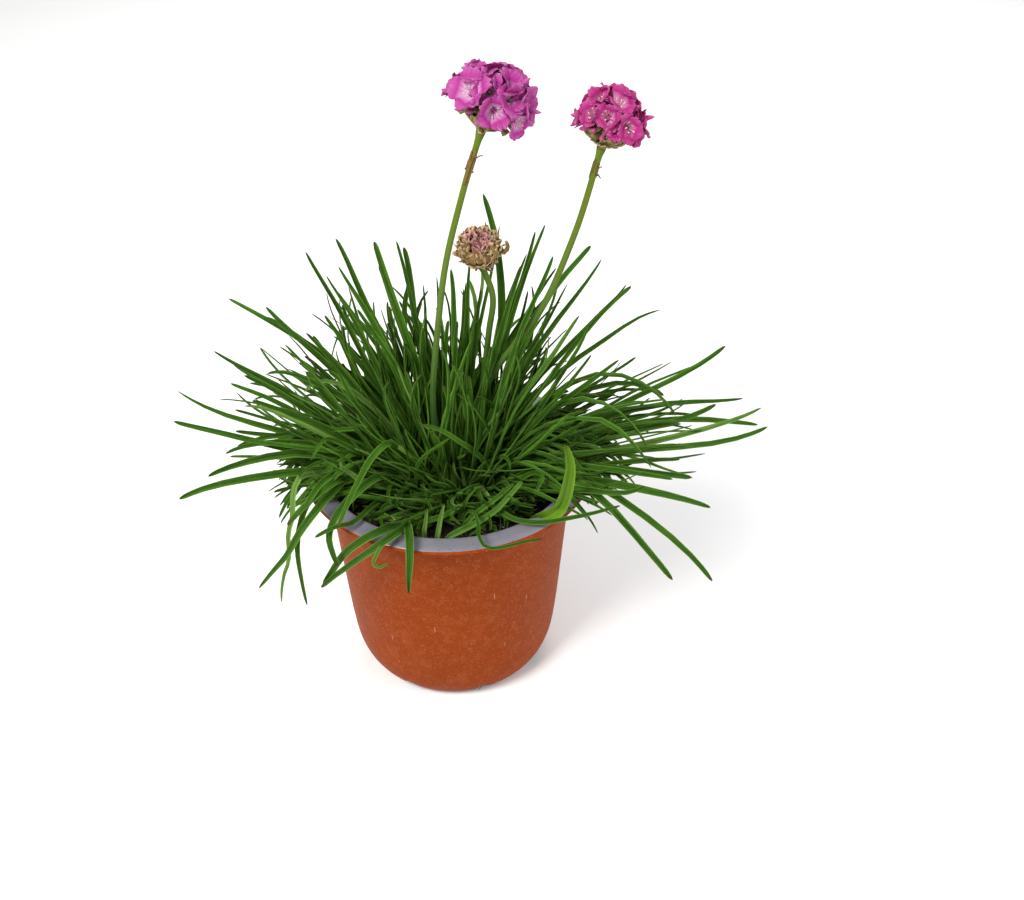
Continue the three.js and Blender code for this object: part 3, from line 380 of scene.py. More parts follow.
# Kinds of the dried head's pieces: tan skins, pink skins, and a dark core that is painted shade in
# the gaps between them
TAN, PINK, SHADE_CORE = range(3)
# Rows of bracts under a head: count, drop, distance from the stalk as a share of the core, tilt,
# length as a share of the core, half width
BRACT_ROWS = [
    (8, 1.9, 0.30, 0.35, 0.85, 1.6),
    (9, 0.9, 0.42, 0.6, 0.8, 1.7),
    (8, 2.4, 0.24, 0.0, 0.5, 1.1),
]
# Papery skins: name, dark, light, veins, pale rim
HEAD_SKINS = [
    ("calyx", (0.13, 0.12, 0.03), (0.38, 0.33, 0.12), (0.24, 0.08, 0.06)),
    ("bract", (0.13, 0.13, 0.025), (0.33, 0.28, 0.09), (0.22, 0.09, 0.04), (0.70, 0.58, 0.34)),
    ("dried calyx", (0.085, 0.024, 0.012), (0.35, 0.245, 0.08), (0.14, 0.03, 0.016),
     (0.72, 0.54, 0.31)),
    ("dried shade", (0.035, 0.014, 0.007), (0.07, 0.03, 0.015), (0.03, 0.01, 0.006)),
    ("dried petal", (0.20, 0.045, 0.05), (0.50, 0.21, 0.20), (0.17, 0.03, 0.035),
     (0.70, 0.44, 0.38)),
]
# Rows of skins on the dried head: count, height of the row as a share of the ball's radius,
# distance off the core, half breadth and height
SKINS = [
    (9, -0.88, 1.3, 2.0, 5.0),
    (12, -0.56, 1.9, 1.7, 4.8),
    (14, -0.2, 2.2, 1.5, 4.4),
    (14, 0.12, 2.3, 1.4, 4.2),
    (12, 0.42, 2.2, 1.3, 4.0),
    (8, 0.7, 2.0, 1.2, 3.6),
]
# Direction that the pink skins of the dried head face
DRIED_FRONT = Vector((0.05, -0.72, 0.68)).normalized()
FUNNEL_COUNT = 34
FUNNEL_CUTS = (0.17, 0.34, 0.5, 0.66, 0.8, 0.92)
# Curled ends that stick out of the dried head: width and points
DRIED_CURLS = [
    (2.2, [(15.5, 3.5, 79.6), (18.6, 3, 80.8), (20.6, 2.4, 80.8), (21.6, 2.2, 82.6),
           (21, 2.6, 84.8)]),
    (1.6, [(7.6, 3, 83), (5.8, 2.6, 83.4), (4.9, 2.4, 82.4)]),
    (1.5, [(12, 1, 87), (12.2, 0.4, 88.6), (13.2, 0.6, 89)]),
    (1.6, [(13.6, 3.4, 76), (14.9, 3.0, 74.6), (16.0, 3.0, 73.6), (16.9, 3, 73.4)]),
]


def foot_of(head):
    """Where a stalk meets the underside of its head"""
    x, y, height = head["centre"]
    angle = math.radians(head["lean"])
    return (x - head["foot"] * math.sin(angle), y, height - head["foot"] * math.cos(angle))


# Flower stalks: radius and points
STALKS = {
    "tall": (1.1, [(-4, -6, -12), (-4.5, -6, 34), (0, -6, 74), (7, -6, 105),
                   foot_of(HEADS["tall"])]),
    "side": (1.1, [(4, 4, -12), (14, 3, 28), (28.6, 1, 53.6), (35, 0, 65), (43, 0, 87),
                   foot_of(HEADS["side"])]),
    "dried": (1.15, [(8, 6, -12), (13, 6, 30), (15.5, 5, 50), (16.6, 5, 63), foot_of(DRIED_HEAD)]),
}
STALK_SHARES = np.linspace(0, 1, 61)
STALK_SIDES = 24
STALK_SEED = 63
# Sheaths: where on the stalk they start and end, seed, slivers
SHEATHS = {"tall": (0.875, 0.985, 5, 5), "side": (0.925, 0.998, 6, 3)}
SHEATH_SIDES = 20
SHEATH_GAP = 0.05
SHEATH_THICKNESS = 0.08

# Stage: lamps with place, size, power and colour, in metres, and the view in millimetres,
# degrees and pixels
LAMPS = [
    ("key", (-0.5, -0.5, 0.85), 0.4, 12.0, (1.0, 0.98, 0.95)),
    ("fill", (0.8, -0.35, 0.5), 0.5, 4.0, (0.96, 0.98, 1.0)),
    ("rim", (0.2, 0.9, 0.8), 0.7, 5.0, (1.0, 1.0, 1.0)),
]
LAMP_AIM = (0, 0, 0.12)
SKY_STRENGTH = 0.5
FLOOR_SIZE = 8
VIEW_DISTANCE = 450
VIEW_ELEVATION = 36.5
VIEW_ROLL = -2.2
FOCAL_PIXELS = 1238
IMAGE_SIZE = (1024, 900)
RIM_PIXEL = (449.3, 457)
SENSOR_WIDTH = 36


class Draws:
    """Random draws that come out the same in every run"""

    def __init__(self, seed):
        self.state = seed

    def next(self):
        self.state = (self.state * 1664525 + 1013904223) % 4294967296
        return self.state / 4294967296

    def between(self, low, high):
        return low + (high - low) * self.next()

    def about(self, most):
        return self.between(-most, most)

    def three(self):
        return (self.next(), self.next(), self.next())


# Lines
def from_mouth(points):
    return np.array(points, float) + (0, 0, POT_HEIGHT)


def unit(vectors):
    return vectors / np.maximum(np.linalg.norm(vectors, axis=-1, keepdims=True), 1e-9)


def length_of(line):
    return float(np.linalg.norm(np.diff(line, axis=0), axis=1).sum())


def round_about(angle, reach=1.0):
    return reach * math.cos(angle), reach * math.sin(angle)


def bezier(controls, shares):
    """Points and directions of a cubic curve with four controls"""
    p0, p1, p2, p3 = controls
    t = np.asarray(shares, float)[:, None]
    k = 1 - t
    points = k ** 3 * p0 + 3 * k * k * t * p1 + 3 * k * t * t * p2 + t ** 3 * p3
    return points, unit(k * k * (p1 - p0) + 2 * k * t * (p2 - p1) + t * t * (p3 - p2))


def smooth_point(points, share):
    """Point of a centripetal spline through the given points"""
    last = len(points) - 1
    index = min(int(last * share), last - 1)
    weight = last * share - index
    before = points[index - 1] if index > 0 else 2 * points[0] - points[1]
    after = points[index + 2] if index + 2 <= last else 2 * points[last] - points[last - 1]
    a, b, c, d = before, points[index], points[index + 1], after
    near, here, far = [max(1e-4, float(((end - start) ** 2).sum()) ** 0.25)
                       for start, end in ((a, b), (b, c), (c, d))]
    first = ((b - a) / near - (c - a) / (near + here) + (c - b) / here) * here
    second = ((c - b) / here - (d - b) / (here + far) + (d - c) / far) * here
    square = -3 * b + 3 * c - 2 * first - second
    cube = 2 * b - 2 * c + first + second
    return b + first * weight + square * weight ** 2 + cube * weight ** 3


def smooth_line(points, steps):
    return np.array([smooth_point(points, step / steps) for step in range(steps + 1)])


def even_line(points, shares, fine=400):
    """Points and directions at shares of a spline's real length"""
    line = smooth_line(points, fine)
    lengths = np.concatenate([[0], np.cumsum(np.linalg.norm(np.diff(line, axis=0), axis=1))])
    wanted = np.asarray(shares, float) * lengths[-1]

    def there(values):
        return np.stack([np.interp(wanted, lengths, values[:, axis]) for axis in range(3)], -1)

    return there(line), unit(there(np.gradient(line, axis=0)))


def segment_gaps(line, starts, ends):
    """Least distance from each straight piece of a line to each of the given pieces"""
    first = (line[1:] - line[:-1])[:, None]
    second = (ends - starts)[None]
    offset = line[:-1][:, None] - starts[None]
    a, b, c = (first * first).sum(-1), (first * second).sum(-1), (second * second).sum(-1)
    d, e = (first * offset).sum(-1), (second * offset).sum(-1)
    denominator = a * c - b * b
    safe = np.where(denominator > 1e-9, denominator, 1)
    along = np.where(denominator > 1e-9, np.clip((b * e - c * d) / safe, 0, 1), 0)
    across = np.clip((b * along + e) / c, 0, 1)
    along = np.clip((b * across - d) / a, 0, 1)
    return np.linalg.norm(offset + first * along[..., None] - second * across[..., None], axis=-1)


def points_between(line):
    """Nine points on each straight piece of a line"""
    shares = np.linspace(0, 1, 9)[:, None, None]
    return (line[:-1] + (line[1:] - line[:-1]) * shares).reshape(-1, 3)


# Where leaves grow, by the rule of the solid model
class Crown:
    def __init__(self, x, y, radius, dome, roots=()):
        self.x, self.y, self.radius, self.dome = x, y, radius, dome
        self.roots = list(roots)


class Obstacles:
    """Lines that leaves keep clear of, each with its own half thickness"""

    def __init__(self):
        self.starts, self.ends, self.limits = [], [], []

    def add(self, line, radius):
        self.starts.extend(line[:-1])
        self.ends.extend(line[1:])
        self.limits.extend([radius + LEAF_CLEARANCE] * (len(line) - 1))

    def is_clear(self, line):
        if not self.starts:
            return True
        gaps = segment_gaps(line, np.array(self.starts), np.array(self.ends))
        return bool((gaps > np.array(self.limits)).all())


def free_root(leaf, crown, start):
    """Free place for a leaf's foot: the lower the leaf lies, the further out. The search winds
    outwards."""
    x, y, height = leaf[:3]
    reach = math.hypot(x - crown.x, y - crown.y)
    angle = math.atan2(y - crown.y, x - crown.x)
    lean = math.atan2(reach, max(height, 0) + UPRIGHT_BIAS)
    out = crown.radius * ROOT_REACH * min(1, lean / FLAT_LEAN)
    for turn in range(start, SPIRAL_TURNS):
        away = SPIRAL_STEP * math.sqrt(turn)
        dx = out * math.cos(angle) + away * math.cos(turn * GOLDEN_ANGLE)
        dy = out * math.sin(angle) + away * math.sin(turn * GOLDEN_ANGLE)
        if math.hypot(dx, dy) < crown.radius - ROOT_MARGIN and all(
                math.hypot(crown.x + dx - rx, crown.y + dy - ry) > taken
                for rx, ry, taken in crown.roots):
            return (crown.x + dx, crown.y + dy, ROOT_SPACING)
    return None


def leaf_controls(leaf, root, crown):
    """The four controls of a leaf's centre line from its root to its tip"""
    x, y, height, low, high, sway = leaf
    out = math.hypot(root[0] - crown.x, root[1] - crown.y) / crown.radius
    dome = crown.dome * math.sqrt(1 - out ** 2)
    foot = np.array([root[0], root[1], SOIL_TOP + CROWN_LIFT + dome - ROOT_SINK])
    tip = np.array([x, y, POT_HEIGHT + height])
    angle = math.atan2(y - crown.y, x - crown.x)
    side = np.array([-math.sin(angle), math.cos(angle), 0])
    lower = foot + (tip - foot) * 0.3 + UP * low - side * (sway / 2)
    upper = foot + (tip - foot) * 0.75 + UP * high - side * sway
    return foot, lower, upper, tip


def is_above_soil(line, crown):
    x, y, z = points_between(line).T
    radius = np.hypot(x, y)
    over_lip = (radius > MOUTH_RADIUS - LIP_APPROACH) & (radius < LIP_RADIUS + LEAF_CLEARANCE)
    over_soil = (np.hypot(x - crown.x, y - crown.y) > crown.radius - CROWN_EDGE) & (
        radius < MOUTH_RADIUS)
    return not ((over_lip & (z < POT_HEIGHT + LIP_CLEARANCE))
                | (over_soil & (z < SOIL_TOP + SOIL_CLEARANCE))).any()


def settle_from(root, leaf, crown, obstacles, shares):
    """Lifts a leaf until it lies above the soil and the lip, then swings it until it is clear"""
    x, y, height, low, high, sway, width = leaf
    lift = 0

    def shaped(tip_x, tip_y):
        raised = (tip_x, tip_y, height, low + lift, high + lift, sway)
        controls = leaf_controls(raised, root, crown)
        return controls, bezier(controls, shares)[0]

    while not is_above_soil(shaped(x, y)[1], crown) and lift < MOST_LIFT:
        lift += LIFT_STEP
    for turn in range(SWING_TRIES + 1):
        swing = math.radians(SWING_STEP * math.ceil(turn / 2) * (1 if turn % 2 else -1))
        tip_x = x * math.cos(swing) - y * math.sin(swing)
        tip_y = x * math.sin(swing) + y * math.cos(swing)
        controls, line = shaped(tip_x, tip_y)
        if is_above_soil(line, crown) and obstacles.is_clear(line):
            angle = math.atan2(tip_y - crown.y, tip_x - crown.x)
            return dict(controls=controls, line=line, width=width, root=root, angle=angle)
    return None


def settle(leaf, crown, obstacles, shares):
    for attempt in range(ROOT_TRIES):
        root = free_root(leaf, crown, attempt * TURNS_PER_TRY)
        settled = root and settle_from(root, leaf, crown, obstacles, shares)
        if settled:
            return settled
    return None


def draw_leaf(group, index, draws, is_fine):
    """One leaf of a group as a row, and the angle that it leans to"""
    count, arc, reach, height, lift, width = group[:6]
    angle = math.radians(arc[0] + (arc[1] - arc[0]) * (index + draws.next()) / count)
    out, rise, bow = draws.between(*reach), draws.between(*height), draws.between(0, lift)
    upper = bow * (draws.between(-0.6, 1) if is_fine else 0.6)
    sway = draws.about(FINE_SWAY if is_fine else FILL_SWAY)
    return (*round_about(angle, out), rise, bow, upper, sway, draws.between(*width)), angle


def flat_twist(draws):
    return math.radians(draws.about(MOST_TWIST))


def fill_tuft(crown, obstacles, placed, draws):
    """Adds the filling leaves, each the freest of a few draws"""
    for group in FILL_LEAVES:
        for index in range(group[0]):
            best, best_gap, draw = None, -1, 0
            while draw < FILL_DRAWS and best_gap < LEAF_SPACING:
                leaf = draw_leaf(group, index, draws, False)[0]
                settled = settle(leaf, crown, obstacles, FILL_SHARES)
                if settled:
                    starts = np.concatenate([other["line"][1:-1] for other in placed])
                    ends = np.concatenate([other["line"][2:] for other in placed])
                    gap = segment_gaps(settled["line"][1:], starts, ends).min()
                    if gap > best_gap:
                        best, best_gap = settled, gap
                draw += 1
            if best:
                placed.append(best)
                crown.roots.append(best["root"])


def shown_stalk():
    path = smooth_line(from_mouth(STALKS["tall"][1]), 4 * STALK_STEPS)
    height = path[:, 2] - POT_HEIGHT
    return path[(height > SHOWN_STALK[0]) & (height < SHOWN_STALK[1])]


def hides_stalk(line, stalk):
    """Whether a leaf's line passes between the viewer and the shown part of the tall stalk"""
    apart = points_between(line)[:, None] - stalk[None]
    nearer = apart @ np.array(TOWARDS_VIEWER)
    aside = np.linalg.norm(apart - nearer[..., None] * np.array(TOWARDS_VIEWER), axis=-1)
    return bool(((nearer > 0) & (aside < SHOWN_ROOM)).any())


def fine_leaves(groups, crown, obstacles, draws):
    """Leaves with roots anywhere on the crown, so that they cross each other"""
    grown, stalk = [], shown_stalk()
    for group in groups:
        for index in range(group[0]):
            for _ in range(FINE_TRIES):
                leaf, angle = draw_leaf(group, index, draws, True)
                turn = angle + math.radians(draws.about(group[6]))
                away = (crown.radius - ROOT_MARGIN) * math.sqrt(draws.between(0.04, 0.9))
                x, y = round_about(turn, away)
                root = (crown.x + x, crown.y + y)
                settled = settle_from(root, leaf, crown, obstacles, FILL_SHARES)
                if settled and not hides_stalk(settled["line"], stalk):
                    settled["twist"] = 2 * flat_twist(draws)
                    grown.append(settled)
                    break
    return grown


def grow_leaves():
    """All leaves of the tuft that follow rows, green and dry"""
    young_crown, obstacles = Crown(*YOUNG_CROWN), Obstacles()
    for radius, path in STALKS.values():
        obstacles.add(smooth_line(from_mouth(path), STALK_STEPS), radius)
    for leaf in YOUNG_LEAVES:
        settled = settle(leaf, young_crown, Obstacles(), LEAF_SHARES)
        young_crown.roots.append(settled["root"])
        obstacles.add(settled["line"], settled["width"] / 2)
    obstacles.add(smooth_line(from_mouth(BROAD_LEAF_PATH), STALK_STEPS), 2)
    x, y, height = DRIED_HEAD["centre"]
    obstacles.add(from_mouth([(x, y, height - 4), (x, y, height + 4)]), DRIED_HEAD["core"] + 3)
    crown = Crown(0, 0, CROWN_RADIUS, CROWN_DOME,
                  [(*path[0][:2], STALK_ROOM) for _, path in STALKS.values()])
    placed = []
    for leaf in LEFT_LEAVES + HANGING_LEAVES + RIGHT_LEAVES:
        settled = settle(leaf, crown, obstacles, LEAF_SHARES)
        if settled:
            crown.roots.append(settled["root"])
            settled.update(facing=TOWARDS_VIEWER, redrawn=leaf in REDRAWN_LEAVES)
            placed.append(settled)
    draws, leading, stalk = Draws(LEAF_SEED), len(placed), shown_stalk()
    fill_tuft(crown, obstacles, placed, draws)
    placed = [leaf for leaf in placed[:leading] if not leaf["redrawn"]] + [
        leaf for leaf in placed[leading:] if not hides_stalk(leaf["line"], stalk)]
    for leaf in placed:
        leaf["twist"] = flat_twist(draws) * (0.7 if "facing" in leaf else 1)
    draws = Draws(FINE_SEED)
    fine = fine_leaves(FINE_LEAVES, crown, obstacles, draws)
    return placed + fine, fine_leaves(DRY_LEAVES, crown, obstacles, draws)


# Modelling
def leave_edit():
    bpy.ops.object.mode_set(mode="OBJECT")


def deselect_all():
    if bpy.context.object and bpy.context.object.mode != "OBJECT":
        leave_edit()
    bpy.ops.object.select_all(action="DESELECT")


def pick(*pieces):
    """Selects these pieces alone, the first of them active"""
    deselect_all()
    for piece in pieces:
        piece.select_set(True)
    bpy.context.view_layer.objects.active = pieces[0]


def select_all():
    bpy.ops.mesh.select_all(action="SELECT")


def edit_all():
    bpy.ops.object.mode_set(mode="EDIT")
    select_all()


def primitive(add, name=None, **settings):
    """A new primitive with nothing else selected"""
    deselect_all()
    add(**settings)
    made = bpy.context.object
    if name:
        made.name = name
    return made


def apply_modifier(piece, kind, **settings):
    modifier = piece.modifiers.new(kind.title(), kind)
    for name, value in settings.items():
        setattr(modifier, name, value)
    pick(piece)
    bpy.ops.object.modifier_apply(modifier=modifier.name)


def take_shape(piece):
    """Points and faces of a modelled template, which is then removed"""
    bpy.context.view_layer.update()
    mesh, matrix = piece.data, piece.matrix_world
    points = np.array([matrix @ vertex.co for vertex in mesh.vertices], float)
    faces = [tuple(face.vertices) for face in mesh.polygons]
    bpy.data.objects.remove(piece)
    bpy.data.meshes.remove(mesh)
    return points, faces


def ringed_tube(sides, cuts, ends="NOTHING"):
    """A straight tube of radius 1 and length 1 along Z, cut into rings"""
    tube = primitive(bpy.ops.mesh.primitive_cylinder_add, vertices=sides, radius=1, depth=1,
                     location=(0, 0, 0.5), end_fill_type=ends)
    edit_all()
    for cut in cuts:
        select_all()
        bpy.ops.mesh.bisect(plane_co=(0, 0, float(cut)), plane_no=(0, 0, 1), threshold=1e-5)
    leave_edit()
    return tube


def tube_template(sides, shares):
    return take_shape(ringed_tube(sides, shares[1:-1], "NGON"))


def ball_template():
    return take_shape(primitive(bpy.ops.mesh.primitive_ico_sphere_add, subdivisions=1, radius=1))


def sheet_template(across, along):
    """A closed thin sheet that spans X from -1 to 1 and Y from 0 to 1. Z tells its two sides."""
    sheet = primitive(bpy.ops.mesh.primitive_grid_add, x_subdivisions=across,
                      y_subdivisions=along, size=2)
    edit_all()
    bpy.ops.transform.resize(value=(1, 0.5, 1), center_override=(0, 1, 0))
    leave_edit()
    apply_modifier(sheet, "SOLIDIFY", thickness=0.01, offset=-1)
    points, faces = take_shape(sheet)
    points[:, 1] = (points[:, 1] - points[:, 1].min()) / np.ptp(points[:, 1])
    return points, faces


def sheet_sides(points, thickness):
    """How far the lower side of a sheet lies under its upper one"""
    return np.where(points[:, 2] < -1e-4, thickness, 0.0)


def ring_places(points):
    """Turn of each point about Z from +Y towards +X, its share along Z and its reach"""
    turn = np.arctan2(points[:, 0], points[:, 1]) % FULL_TURN
    return turn, points[:, 2], np.hypot(points[:, 0], points[:, 1])


def ring_numbers(share):
    """The rings of a tube template, and the one that each point is on"""
    rings = np.unique(np.round(share, 5))
    return rings, np.searchsorted(rings, np.round(share, 5))


def lay_of(across, along, length):
    """Where points lie on their copy: across it, and from its foot and its tip in millimetres"""
    return np.stack([across, along * length, (1 - along) * length], -1)


def turning(angle, axis):
    return Matrix.Rotation(angle, 4, axis)


def shifting(x=0, y=0, z=0):
    return Matrix.Translation((x, y, z))


def rising(direction):
    """Turns what stands up to this direction"""
    return Vector((0, 0, 1)).rotation_difference(Vector(direction)).to_matrix().to_4x4()


def standing(direction, spin, out):
    """Stands a shape up on a direction, turned about it and moved out along it"""
    return Matrix.Translation(direction * out) @ rising(direction) @ turning(spin, "Z")


def moved(points, matrix):
    array = np.array(matrix)
    return points @ array[:3, :3].T + array[:3, 3]


class Heap:
    """Bent copies of templates gathered into one piece. Lay says where a point is on its copy, and
    draw is what was drawn for the copy."""

    def __init__(self):
        self.points, self.lays, self.draws, self.faces, self.kinds = [], [], [], [], []
        self.count = 0

    def add(self, points, faces, lay, draw, kind=0):
        self.points.append(points)
        self.lays.append(np.broadcast_to(lay, points.shape))
        self.draws.append(np.broadcast_to(draw, points.shape))
        self.faces.extend(tuple(self.count + corner for corner in face) for face in faces)
        self.kinds.extend([kind] * len(faces))
        self.count += len(points)

    def piece(self, name, *finishes, crease=None):
        mesh = bpy.data.meshes.new(name)
        mesh.from_pydata((np.concatenate(self.points) * MM).tolist(), [], self.faces)
        for title, values in (("lay", self.lays), ("draw", self.draws)):
            layer = mesh.attributes.new(title, "FLOAT_VECTOR", "POINT")
            layer.data.foreach_set("vector", np.concatenate(values).astype(np.float32).ravel())
        for finish in finishes:
            mesh.materials.append(finish)
        mesh.polygons.foreach_set("material_index", self.kinds)
        mesh.shade_smooth()
        mesh.update()
        made = bpy.data.objects.new(name, mesh)
        bpy.context.scene.collection.objects.link(made)
        if crease:
            pick(made)
            bpy.ops.object.shade_smooth_by_angle(angle=math.radians(crease))
        return made


def finish_modelled(piece, finishes, draw):
    """Gives a modelled piece its finishes, and the attributes of gathered ones at one value"""
    for finish in finishes:
        piece.data.materials.append(finish)
    for title, value in (("lay", (0, 0, 0)), ("draw", draw)):
        layer = piece.data.attributes.new(title, "FLOAT_VECTOR", "POINT")
        layer.data.foreach_set("vector", list(value) * len(piece.data.vertices))


def seat(piece, slot, *nodes):
    """Fixes a finished piece to the plant's one body, and hides the solid parts that it stands for.
    The slot is not used.
    """
    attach(piece, "root")
    if nodes:
        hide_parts(*nodes)


# Shader nodes
FLOAT, VECTOR = "NodeSocketFloat", "NodeSocketVector"


def feed(tree, node, inputs):
    """Links sockets and sets plain values"""
    for name, value in inputs.items():
        if isinstance(value, bpy.types.NodeSocket):
            tree.links.new(value, node.inputs[name])
        else:
            node.inputs[name].default_value = value


def put(tree, kind, inputs, **settings):
    made = tree.nodes.new("ShaderNode" + kind)
    for name, value in settings.items():
        setattr(made, name, value)
    feed(tree, made, inputs)
    return made


def sum_of(tree, how, first, second, clamp=False):
    return put(tree, "Math", {0: first, 1: second}, operation=how, use_clamp=clamp).outputs[0]


def spread(tree, value, low, high, to_low=0.0, to_high=1.0):
    return put(tree, "MapRange", {"Value": value, "From Min": low, "From Max": high,
                                  "To Min": to_low, "To Max": to_high}).outputs["Result"]


def new_group(name, result, **inputs):
    """An empty effect with one output. A number is a float input with that default."""
    tree = bpy.data.node_groups.new(name, "ShaderNodeTree")
    for title, default in inputs.items():
        kind = VECTOR if default is None else FLOAT
        socket = tree.interface.new_socket(title, in_out="INPUT", socket_type=kind)
        if default is not None:
            socket.default_value = default
    tree.interface.new_socket(result, in_out="OUTPUT",
                              socket_type=VECTOR if result == "Normal" else FLOAT)
    given, end = tree.nodes.new("NodeGroupInput"), tree.nodes.new("NodeGroupOutput")
    return tree, given.outputs, end.inputs[result]


def build_patches():
    """Soft patches: a mask that rises where a noise lies between Low and High"""
    tree, given, mask = new_group("Patches", "Mask", Vector=None, Scale=50.0, Detail=4.0,
                                  Low=0.4, High=0.6)
    wave = put(tree, "TexNoise", {"Vector": given["Vector"], "Scale": given["Scale"],
                                  "Detail": given["Detail"], "Roughness": 0.6})
    tree.links.new(spread(tree, wave.outputs["Fac"], given["Low"], given["High"]), mask)


def build_specks():
    """Scattered round specks: Share says how many of the cells hold one"""
    tree, given, mask = new_group("Specks", "Mask", Vector=None, Scale=900.0, Size=0.3, Share=0.3)
    cells = put(tree, "TexVoronoi", {"Vector": given["Vector"], "Scale": given["Scale"]}).outputs
    near = spread(tree, cells["Distance"], given["Size"], 0.05)
    tone = put(tree, "SeparateColor", {"Color": cells["Color"]}).outputs[0]
    chosen = sum_of(tree, "LESS_THAN", tone, given["Share"])
    tree.links.new(sum_of(tree, "MULTIPLY", near, chosen), mask)


def build_fibres():
    """Fine lines along a leaf, stalk or petal, from where each point lies on it"""
    tree, given, mask = new_group("Fibres", "Mask", Lay=None, Phase=0.0, Across=6.0, Along=0.06)
    parts = put(tree, "SeparateXYZ", {0: given["Lay"]}).outputs
    pairs = ((parts[0], given["Across"]), (parts[1], given["Along"]), (given["Phase"], 50.0))
    place = put(tree, "CombineXYZ", {axis: sum_of(tree, "MULTIPLY", *pair)
                                     for axis, pair in enumerate(pairs)}).outputs[0]
    wave = put(tree, "TexNoise", {"Vector": place, "Scale": 1.0, "Detail": 3.0, "Roughness": 0.65})
    tree.links.new(spread(tree, wave.outputs["Fac"], 0.3, 0.7), mask)


def build_relief():
    """Turns a height, with its depth in millimetres, into a bumped normal"""
    tree, given, normal = new_group("Relief", "Normal", Height=0.0, Depth=0.1)
    metres = sum_of(tree, "MULTIPLY", given["Depth"], MM)
    bump = put(tree, "Bump", {"Strength": 1.0, "Distance": metres, "Height": given["Height"]})
    tree.links.new(bump.outputs["Normal"], normal)


class Finish:
    """A material being wired: two colours mixed by a mask, with covers laid over them"""

    def __init__(self, name):
        self.material = bpy.data.materials.new(name)
        self.material.use_nodes = True
        self.tree = self.material.node_tree
        self.base = None

    def use(self, group, **inputs):
        made = self.tree.nodes.new("ShaderNodeGroup")
        made.node_tree = bpy.data.node_groups[group]
        feed(self.tree, made, inputs)
        return made.outputs[0]

    def place(self):
        return put(self.tree, "TexCoord", {}).outputs["Object"]

    def split(self, vector):
        return put(self.tree, "SeparateXYZ", {0: vector}).outputs

    def attribute(self, name):
        """A point attribute and its three parts"""
        vector = put(self.tree, "Attribute", {}, attribute_name=name).outputs["Vector"]
        return vector, self.split(vector)

    def patches(self, place, scale, low, high, detail=4.0):
        return self.use("Patches", Vector=place, Scale=scale, Detail=detail, Low=low, High=high)

    def specks(self, place, scale, size, share):
        return self.use("Specks", Vector=place, Scale=scale, Size=size, Share=share)

    def fibres(self, lay, phase, across, along):
        return self.use("Fibres", Lay=lay, Phase=phase, Across=across, Along=along)

    def spread(self, value, low, high, to_low=0.0, to_high=1.0):
        return spread(self.tree, value, low, high, to_low, to_high)

    def math(self, how, first, second=0.0, clamp=False):
        return sum_of(self.tree, how, first, second, clamp)

    def tone(self, drawn, share, mask, weight):
        """How light a spot is, by its copy's draw and a mask"""
        return self.math("ADD", self.math("MULTIPLY", drawn, share),
                         self.math("MULTIPLY", mask, weight), True)

    def start(self, mask, first, second):
        self.base = put(self.tree, "Mix", {0: mask, 6: (*first, 1), 7: (*second, 1)},
                        data_type="RGBA", clamp_factor=True).outputs[2]

    def cover(self, mask, strength, colour):
        """Lays a colour over what there is, as far as a mask and a strength say"""
        share = mask if strength == 1 else self.math("MULTIPLY", mask, strength)
        self.base = put(self.tree, "Mix", {0: share, 6: self.base, 7: (*colour, 1)},
                        data_type="RGBA", clamp_factor=True).outputs[2]

    def done(self, roughness, height=None, depth=0.0, **constants):
        given = {"Base Color": self.base, "Roughness": roughness}
        if height:
            given["Normal"] = self.use("Relief", Height=height, Depth=depth)
        given.update((name.replace("_", " "), value) for name, value in constants.items())
        feed(self.tree, self.tree.nodes["Principled BSDF"], given)
        return self.material


def outside_plastic(colour):
    """Satin terracotta plastic with a chalky film, pale specks and fine scratches"""
    finish = Finish("terracotta plastic")
    place = finish.place()
    clouds = finish.patches(place, 38, 0.35, 0.68)
    finish.start(clouds, colour, (0.240, 0.039, 0.003))
    finish.cover(finish.patches(place, 120, 0.5, 0.75, 8), 0.12, (0.31, 0.11, 0.05))
    for scale, low, strength in ((300, 0.5, 0.11), (1400, 0.56, 0.5)):
        finish.cover(finish.patches(place, scale, low, low + 0.14, 3), strength,
                     (0.46, 0.14, 0.065))
    stretched = put(finish.tree, "Mapping", {"Vector": place, "Rotation": (0.5, 0.9, 0.3),
                                             "Scale": (1.0, 1.0, 0.12)}).outputs[0]
    finish.cover(finish.specks(stretched, 420, 0.12, 0.10), 0.45, (0.52, 0.32, 0.22))
    grain = finish.patches(place, 900, 0.3, 0.7)
    return finish.done(finish.spread(clouds, 0, 1, 0.46, 0.6), grain, 0.05,
                       Specular_IOR_Level=0.05)


def inside_plastic(colour):
    """Smooth grey plastic with soil dust, and painted shade that darkens the inner wall below the
    lip
    """
    finish = Finish("grey plastic")
    place = finish.place()
    finish.start(finish.patches(place, 60, 0.35, 0.7), colour, (0.19, 0.184, 0.225))
    dirt = finish.patches(place, 240, 0.56, 0.72, 10)
    finish.cover(dirt, 0.5, (0.12, 0.10, 0.09))
    height = finish.split(place)[2]
    # Painted shade: the inner wall gets darker from just under the lip down towards the soil
    painted_shade = finish.spread(height, (POT_HEIGHT - 1.5) * MM, (POT_HEIGHT - 6) * MM)
    finish.cover(painted_shade, 0.85, (0.04, 0.034, 0.03))
    finish.cover(finish.specks(place, 900, 0.3, 0.10), 1, (0.05, 0.04, 0.035))
    return finish.done(finish.spread(dirt, 0, 1, 0.24, 0.6), dirt, 0.06, Specular_IOR_Level=0.35)


